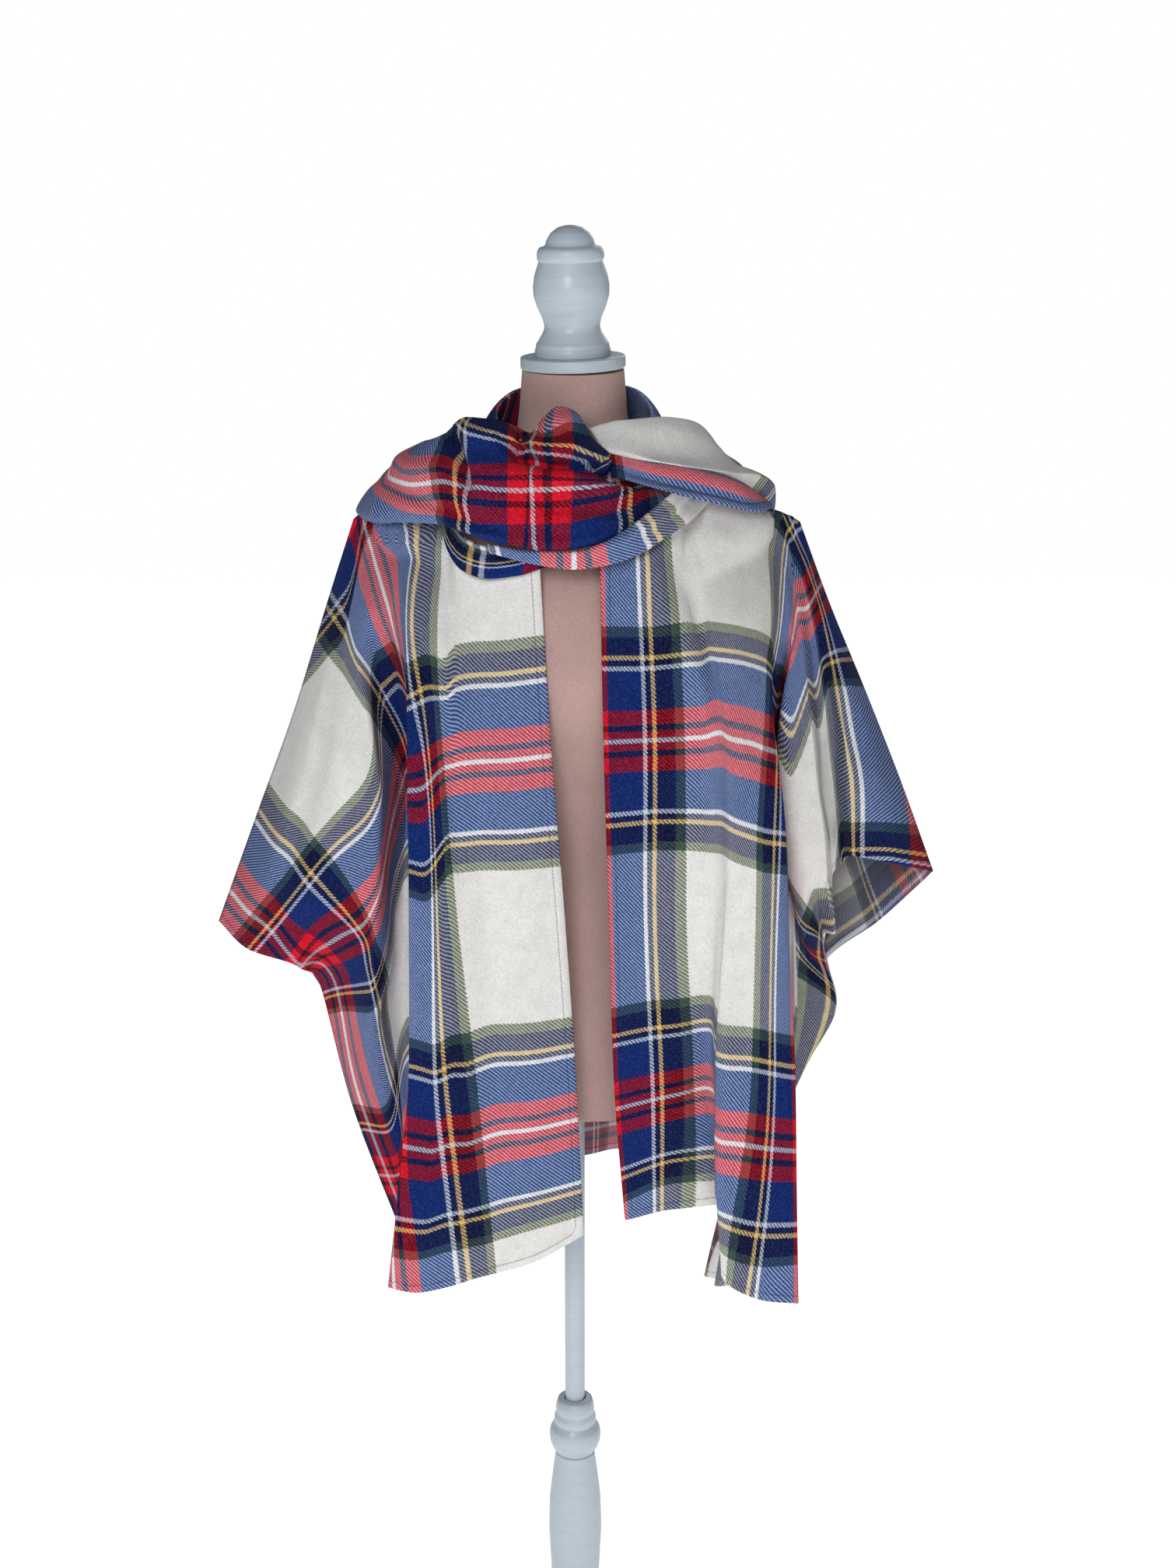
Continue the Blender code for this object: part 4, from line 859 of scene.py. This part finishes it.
def dress_form(material):
    """The torso and neck, rounder between the rings than the solid but never outside the cloth."""
    rings = spline(np.array(FORM_RINGS, float), 3)
    sides = 128
    angle = 2 * np.pi * np.arange(sides) / sides
    points = []
    for height, half, front, behind, power in rings:
        c = np.sign(np.cos(angle)) * np.abs(np.cos(angle)) ** (2 / power)
        s = np.sign(np.sin(angle)) * np.abs(np.sin(angle)) ** (2 / power)
        depth = np.where(s > 0, behind, front)
        points.append(np.stack([half * c, depth * s, np.full(sides, height)], axis=1) * MM)
    faces = ring_faces(len(rings), sides)
    faces.append(tuple(range(sides))[::-1])
    faces.append(tuple(range((len(rings) - 1) * sides, len(rings) * sides)))
    mesh = bpy.data.meshes.new("jersey_form")
    mesh.from_pydata(np.concatenate(points).tolist(), [], faces)
    item = link("jersey_form", mesh, [material])
    mesh.set_sharp_from_angle(angle=math.radians(60))
    return item


def lathe(name, profile, foot, material, sides=96, tilt=False):
    """A smooth turned piece: each corner of its profile is eased."""
    ease = 0.9
    rings = []
    for i, (radius, height) in enumerate(profile):
        if 0 < i < len(profile) - 1:
            for other in (profile[i - 1], profile[i + 1]):
                length = math.hypot(other[0] - radius, other[1] - height)
                t = min(ease / max(length, 1e-6), 0.3)
                rings.append((radius + (other[0] - radius) * t, height + (other[1] - height) * t))
        else:
            rings.append((radius, height))
    points = []
    for radius, height in rings:
        for k in range(sides):
            angle = 2 * math.pi * k / sides
            points.append((radius * MM * math.cos(angle), radius * MM * math.sin(angle), height * MM))
    mesh = bpy.data.meshes.new(name)
    mesh.from_pydata(points, [], ring_faces(len(rings), sides))
    move = Matrix.Translation((0, 0, foot))
    if tilt:
        move = Matrix.Translation((0, 0, NECK_TOP + 0.0014)) @ Matrix.Rotation(-CAP_TILT, 4, "Y") @ move
    mesh.transform(move)
    item = link(name, mesh, [material])
    mesh.set_sharp_from_angle(angle=math.radians(40))
    return item


# ---------------------------------------------------------------- materials

class Tree:
    """Short ways to wire a material's nodes."""

    def __init__(self, name):
        self.material = bpy.data.materials.new(name)
        self.material.use_nodes = True
        self.nodes = self.material.node_tree.nodes
        self.links = self.material.node_tree.links
        self.shader = self.nodes["Principled BSDF"]
        self.place = self.node("ShaderNodeTexCoord").outputs["Object"]

    def put(self, value, socket):
        if isinstance(value, bpy.types.NodeSocket):
            self.links.new(value, socket)
        else:
            socket.default_value = value

    def node(self, kind, inputs=None, **settings):
        item = self.nodes.new(kind)
        for key, value in settings.items():
            setattr(item, key, value)
        for key, value in (inputs or {}).items():
            self.put(value, item.inputs[key])
        return item

    def math(self, operation, a, b=0.0, clamp=False):
        item = self.node("ShaderNodeMath", {0: a, 1: b}, operation=operation, use_clamp=clamp)
        return item.outputs[0]

    def swing(self, value, amount):
        """A value of 0 to 1 as a swing of amount in all about nought."""
        return self.math("MULTIPLY", self.math("SUBTRACT", value, 0.5), amount)

    def remap(self, value, low, high, to_low=0.0, to_high=1.0, **settings):
        inputs = {"Value": value, "From Min": low, "From Max": high, "To Min": to_low, "To Max": to_high}
        return self.node("ShaderNodeMapRange", inputs, **settings).outputs[0]

    def mix(self, factor, a, b, blend="MIX"):
        item = self.node("ShaderNodeMix", data_type="RGBA", blend_type=blend)
        for socket, value in ((item.inputs[0], factor), (item.inputs[6], a), (item.inputs[7], b)):
            self.put(value, socket)
        return item.outputs[2]

    def shaded(self, color, shade):
        """A colour times a shade of grey."""
        grey = self.node("ShaderNodeCombineColor", {0: shade, 1: shade, 2: shade}).outputs[0]
        return self.mix(1.0, color, grey, "MULTIPLY")

    def stripes(self, position, stops):
        """A ramp of plain bands."""
        item = self.node("ShaderNodeValToRGB", {0: position})
        item.color_ramp.interpolation = "CONSTANT"
        elements = item.color_ramp.elements
        elements.remove(elements[1])
        elements[0].position = stops[0][0]
        elements[0].color = stops[0][1]
        for place, color in stops[1:]:
            elements.new(place).color = color
        return item.outputs

    def noise(self, vector, scale, detail=2.0, rough=0.5):
        return self.node("ShaderNodeTexNoise", {"Vector": vector, "Scale": scale, "Detail": detail,
                                                "Roughness": rough}).outputs["Fac"]

    def finish(self, color, bump, strength, distance, surface):
        """Wires colour and bump to the shader, and puts in the rest of the surface by its inputs' names."""
        self.links.new(color, self.shader.inputs["Base Color"])
        item = self.node("ShaderNodeBump", {"Height": bump, "Strength": strength, "Distance": distance})
        self.links.new(item.outputs[0], self.shader.inputs["Normal"])
        for key, value in surface.items():
            self.put(value, self.shader.inputs[key])
        return self.material


def sett_stops(among_colours):
    """Colour stops of one repeat: the stripes among coloured stripes, or those on the cream ground. The
    alpha is 1 in a coloured stripe and 0 in the cream."""
    stops = []
    place = 0.0
    for width, colours in SETT:
        if colours is None:
            color = (*linear(CREAM), 0.0)
        else:
            color = (*linear(colours[0 if among_colours else 1]), 1.0)
        stops.append((place / REPEAT, color))
        place += width
    return stops


def hem_marks(t):
    """The stitch line along the hem, its separate stitches, and the fold that is turned back."""
    hem = t.node("ShaderNodeUVMap", uv_map="hem").outputs[0]
    inward, along = t.node("ShaderNodeSeparateXYZ", {0: hem}).outputs[:2]
    off_line = t.math("ABSOLUTE", t.math("SUBTRACT", inward, HEM))
    line = t.math("SUBTRACT", 1.0, t.math("DIVIDE", off_line, THREAD), clamp=True)
    fold = t.remap(inward, HEM + 0.001, HEM - 0.0015, interpolation_type="SMOOTHSTEP")
    dash = t.math("GREATER_THAN", t.math("FRACT", t.math("DIVIDE", along, STITCH_PITCH)), 0.28)
    return line, t.math("MULTIPLY", line, dash), fold


def fleece(name, wrong=False):
    """Brushed tartan fleece: stripes both ways, twill hatching where two colours cross, and a nap."""
    t = Tree(name)
    tartan = t.node("ShaderNodeUVMap", uv_map="tartan").outputs[0]
    u, v = t.node("ShaderNodeSeparateXYZ", {0: tartan}).outputs[:2]
    fuzz = t.noise(t.place, 1500.0, 1.0)
    tuft = t.noise(t.place, 480.0, 2.0, 0.7)
    # the diagonal of the twill, broken up by the brushed pile, and the stripes' ragged edges
    slant = t.math("MULTIPLY", t.math("SUBTRACT", u, v), REPEAT / TWILL_PITCH)
    stray = t.swing(t.noise(t.place, 900.0, 2.0, 0.6), 0.55)
    twill = t.math("MULTIPLY", t.math("PINGPONG", t.math("ADD", slant, stray), 0.5), 2.0)
    hatch = t.remap(twill, 0.15, 0.85, 0.14, 0.86)
    ragged = t.math("ADD", t.swing(fuzz, 0.0075), t.swing(twill, 0.0032))
    warp_at = t.math("FRACT", t.math("ADD", u, ragged))
    weft_at = t.math("FRACT", t.math("SUBTRACT", v, ragged))
    warp = t.stripes(warp_at, sett_stops(True))
    weft = t.stripes(weft_at, sett_stops(True))
    warp_pale = t.stripes(warp_at, sett_stops(False))["Color"]
    weft_pale = t.stripes(weft_at, sett_stops(False))["Color"]
    pale = t.mix(warp["Alpha"], weft_pale, warp_pale)
    deep = t.mix(hatch, warp["Color"], weft["Color"])
    # red, blue and navy print darker and warmer where they cross, green and the light lines do not
    apart = t.node("ShaderNodeVectorMath", {0: warp["Color"], 1: weft["Color"]}, operation="DISTANCE")
    unlike = t.remap(apart.outputs["Value"], 0.02, 0.25)
    greens = [t.node("ShaderNodeSeparateColor", {0: way["Color"]}).outputs["Green"] for way in (warp, weft)]
    darkens = t.remap(t.math("MAXIMUM", greens[0], greens[1]), 0.03, 0.08, 1.0, 0.1)
    crossed = t.mix(1.0, deep, (0.62, 0.46, 0.38, 1.0), "MULTIPLY")
    deep = t.mix(t.math("MULTIPLY", unlike, darkens), deep, crossed)
    color = t.mix(t.math("MULTIPLY", warp["Alpha"], weft["Alpha"]), pale, deep)
    # the thin light and dark lines of the twill where a stripe lies on the cream ground
    single = t.math("ABSOLUTE", t.math("SUBTRACT", warp["Alpha"], weft["Alpha"]))
    fleck = t.math("MULTIPLY", single, t.math("SUBTRACT", hatch, 0.5))
    color = t.mix(t.math("MULTIPLY", fleck, 1.0, clamp=True), color, paint_of(CREAM))
    stripe = t.mix(warp["Alpha"], weft["Color"], warp["Color"])
    dark_line = t.mix(0.35, stripe, (0.02, 0.03, 0.08, 1.0))
    color = t.mix(t.math("MULTIPLY", fleck, -2.0, clamp=True), color, dark_line)
    mottle = t.remap(t.noise(t.place, 55.0, 3.0, 0.6), 0.3, 0.7, 0.93, 1.04)
    speck = t.remap(tuft, 0.25, 0.75, 0.84, 1.12)
    color = t.shaded(color, t.math("MULTIPLY", mottle, speck))
    # pale fibre tips on the dark stripes, partly painted sheen: a cool pale grey mixed into the colour where
    # the pile tufts, standing in for the sheen's highlight
    tips_and_painted_sheen = t.remap(tuft, 0.45, 0.75, 0.0, 0.06)
    color = t.mix(tips_and_painted_sheen, color, (0.32, 0.38, 0.55, 1.0))
    if wrong:
        color = t.mix(0.22, color, paint_of((170, 172, 182)))
    line, stitches, fold = hem_marks(t)
    color = t.mix(t.math("MULTIPLY", stitches, 0.55), color, (0.02, 0.035, 0.10, 1.0))
    # the nap, the twill's ribs, the tufts, the hem's double layer and the dent of its stitch line
    nap = t.noise(t.place, 700.0, 3.0, 0.65)
    height = t.math("ADD", t.math("MULTIPLY", nap, 0.55), t.math("MULTIPLY", hatch, 0.10))
    height = t.math("ADD", height, t.math("MULTIPLY", tuft, 0.9))
    height = t.math("ADD", height, t.math("MULTIPLY", fold, 0.9))
    height = t.math("SUBTRACT", height, t.math("MULTIPLY", line, 0.9))
    surface = {"Roughness": 0.95, "Specular IOR Level": 0.05, "Sheen Weight": 0.02, "Sheen Roughness": 0.6}
    return t.finish(color, height, 0.55, 0.0012, surface)


def jersey():
    """Matt beige jersey with a fine knit and a soft pile."""
    t = Tree("scene_jersey")
    soft = t.noise(t.place, 18.0, 3.0)
    color = t.mix(soft, paint_of((184, 150, 143)), paint_of((206, 172, 165)))
    knit, ribs = (
        t.node("ShaderNodeTexWave", {"Vector": t.place, "Scale": scale, "Distortion": bend, "Detail": 1.0},
               bands_direction=way).outputs["Fac"]
        for scale, bend, way in ((420.0, 0.6, "Z"), (300.0, 0.4, "X"))
    )
    height = t.math("ADD", t.math("MULTIPLY", knit, 0.5), t.math("MULTIPLY", ribs, 0.5))
    color = t.mix(t.math("MULTIPLY", height, 0.18), color, paint_of((150, 112, 100)))
    color = t.shaded(color, t.remap(t.noise(t.place, 380.0, 3.0, 0.7), 0.3, 0.7, 0.88, 1.05))
    return t.finish(color, height, 0.35, 0.0004, {"Roughness": 0.85, "Sheen Weight": 0.1})


def painted_wood():
    """Satin white paint, brushed along the turning, a little worn."""
    t = Tree("scene_white_paint")
    stretched = t.node("ShaderNodeMapping", {"Vector": t.place, "Scale": (1.0, 1.0, 7.0)}).outputs[0]
    brush = t.noise(stretched, 30.0, 4.0, 0.6)
    color = t.mix(brush, paint_of((176, 190, 202)), paint_of((200, 211, 220)))
    wear = t.remap(t.noise(t.place, 60.0, 5.0, 0.7), 0.62, 0.75)
    color = t.mix(t.math("MULTIPLY", wear, 0.25), color, paint_of((166, 172, 176)))
    rough = t.remap(brush, 0.0, 1.0, 0.36, 0.52)
    return t.finish(color, brush, 0.12, 0.0006, {"Roughness": rough, "Coat Weight": 0.15})


# ---------------------------------------------------------------- the scene

tartan_cloth = fleece("scene_fleece")
wrong_side = fleece("scene_fleece_wrong_side", True)
knit_cloth = jersey()
paint = painted_wood()

form = dress_form(knit_cloth)
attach(form, "root")
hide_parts("dress_form")

POLE_PROFILE = ((0.4, 0), (POLE_RADIUS, 0), (POLE_RADIUS, POLE_LENGTH), (0.4, POLE_LENGTH))
for piece, node in (
    (lathe("painted_finial", FINIAL_PROFILE, 0.0113, paint, tilt=True), "finial"),
    (lathe("painted_disc", DISC_PROFILE, 0.0, paint, tilt=True), "neck_disc"),
    (lathe("painted_ball", BALL_PROFILE, LEG_TOP + 0.0003, paint), "ball_collar"),
    (lathe("painted_leg", LEG_PROFILE, LEG_FOOT, paint), "leg"),
    (lathe("painted_base", BASE_PROFILE, 0.0, paint, 128), "base"),
    (lathe("painted_pole", POLE_PROFILE, LEG_TOP + 0.0003, paint, 48), "pole"),
):
    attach(piece, "root")
    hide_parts(node)

for name, node, folds, side, creases, seams, flat, area, phase in PANELS:
    piece = cloth_panel(name, folds, side, creases, seams, phase, [tartan_cloth, wrong_side])
    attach(piece, "root")
    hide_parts(node)

for name, node, rows, lines, valleys, chart, flat in SCARVES:
    piece = scarf_stretch(name, node, rows, lines, valleys, chart, [tartan_cloth])
    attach(piece, "root")
    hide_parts(node)

# A pale floor that glows almost as white as the backdrop, so that the two meet with no line
floor_mesh = bpy.data.meshes.new("floor")
floor_mesh.from_pydata([(-6, -6, 0), (6, -6, 0), (6, 6, 0), (-6, 6, 0)], [], [(0, 1, 2, 3)])
pale_floor = bpy.data.materials.new("scene_floor")
pale_floor.use_nodes = True
shader = pale_floor.node_tree.nodes["Principled BSDF"]
shader.inputs["Base Color"].default_value = (0.55, 0.55, 0.55, 1.0)
shader.inputs["Emission Color"].default_value = (1.0, 1.0, 1.0, 1.0)
shader.inputs["Emission Strength"].default_value = 0.97
shader.inputs["Roughness"].default_value = 0.9
floor = link("floor", floor_mesh, [pale_floor])

# The white backdrop looks full white, and lights the part only a little
world = bpy.data.worlds.new("studio")
world.use_nodes = True
backdrop = world.node_tree.nodes["Background"]
seen = world.node_tree.nodes.new("ShaderNodeLightPath").outputs["Is Camera Ray"]
power = world.node_tree.nodes.new("ShaderNodeMapRange")
power.inputs["To Min"].default_value = 0.12
power.inputs["To Max"].default_value = 1.0
world.node_tree.links.new(seen, power.inputs["Value"])
world.node_tree.links.new(power.outputs[0], backdrop.inputs[1])
backdrop.inputs[0].default_value = (1.0, 1.0, 1.0, 1.0)
bpy.context.scene.world = world
bpy.context.scene.view_settings.view_transform = "Standard"

# Soft round lights: place, target, size (m), power (W), colour
LIGHTS = {
    "key": ((-0.6, -2.9, 2.5), (0, 0, 1.0), 1.1, 42, (0.94, 0.97, 1.0)),
    "fill": ((0.6, -2.6, 0.9), (0, 0, 0.9), 1.4, 9, (1.0, 0.96, 0.92)),
    "rim": ((0.8, 2.4, 2.2), (0, 0, 1.1), 1.5, 10, (1.0, 1.0, 1.0)),
}
for name, (place, target, size, watts, color) in LIGHTS.items():
    lamp = bpy.data.lights.new(name, "AREA")
    lamp.shape = "DISK"
    lamp.size = size
    lamp.energy = watts
    lamp.color = color
    item = bpy.data.objects.new(name, lamp)
    item.location = place
    item.rotation_euler = (Vector(target) - Vector(place)).to_track_quat("-Z", "Y").to_euler()
    bpy.context.scene.collection.objects.link(item)

# The camera stands above the neck and looks down at the poncho
LENS = 54.107143           # mm, for a frame 36 mm high
CAMERA_PLACE = (0.0135, -2.16, 1.735)
CAMERA_DIP = 17            # degrees below level
camera_data = bpy.data.cameras.new("camera")
camera_data.sensor_fit = "VERTICAL"
camera_data.sensor_height = 36
camera_data.lens = LENS
camera_data.clip_end = 50
camera = bpy.data.objects.new("camera", camera_data)
camera.location = CAMERA_PLACE
camera.rotation_euler = (math.radians(90 - CAMERA_DIP), 0, 0)
bpy.context.scene.collection.objects.link(camera)
bpy.context.scene.camera = camera
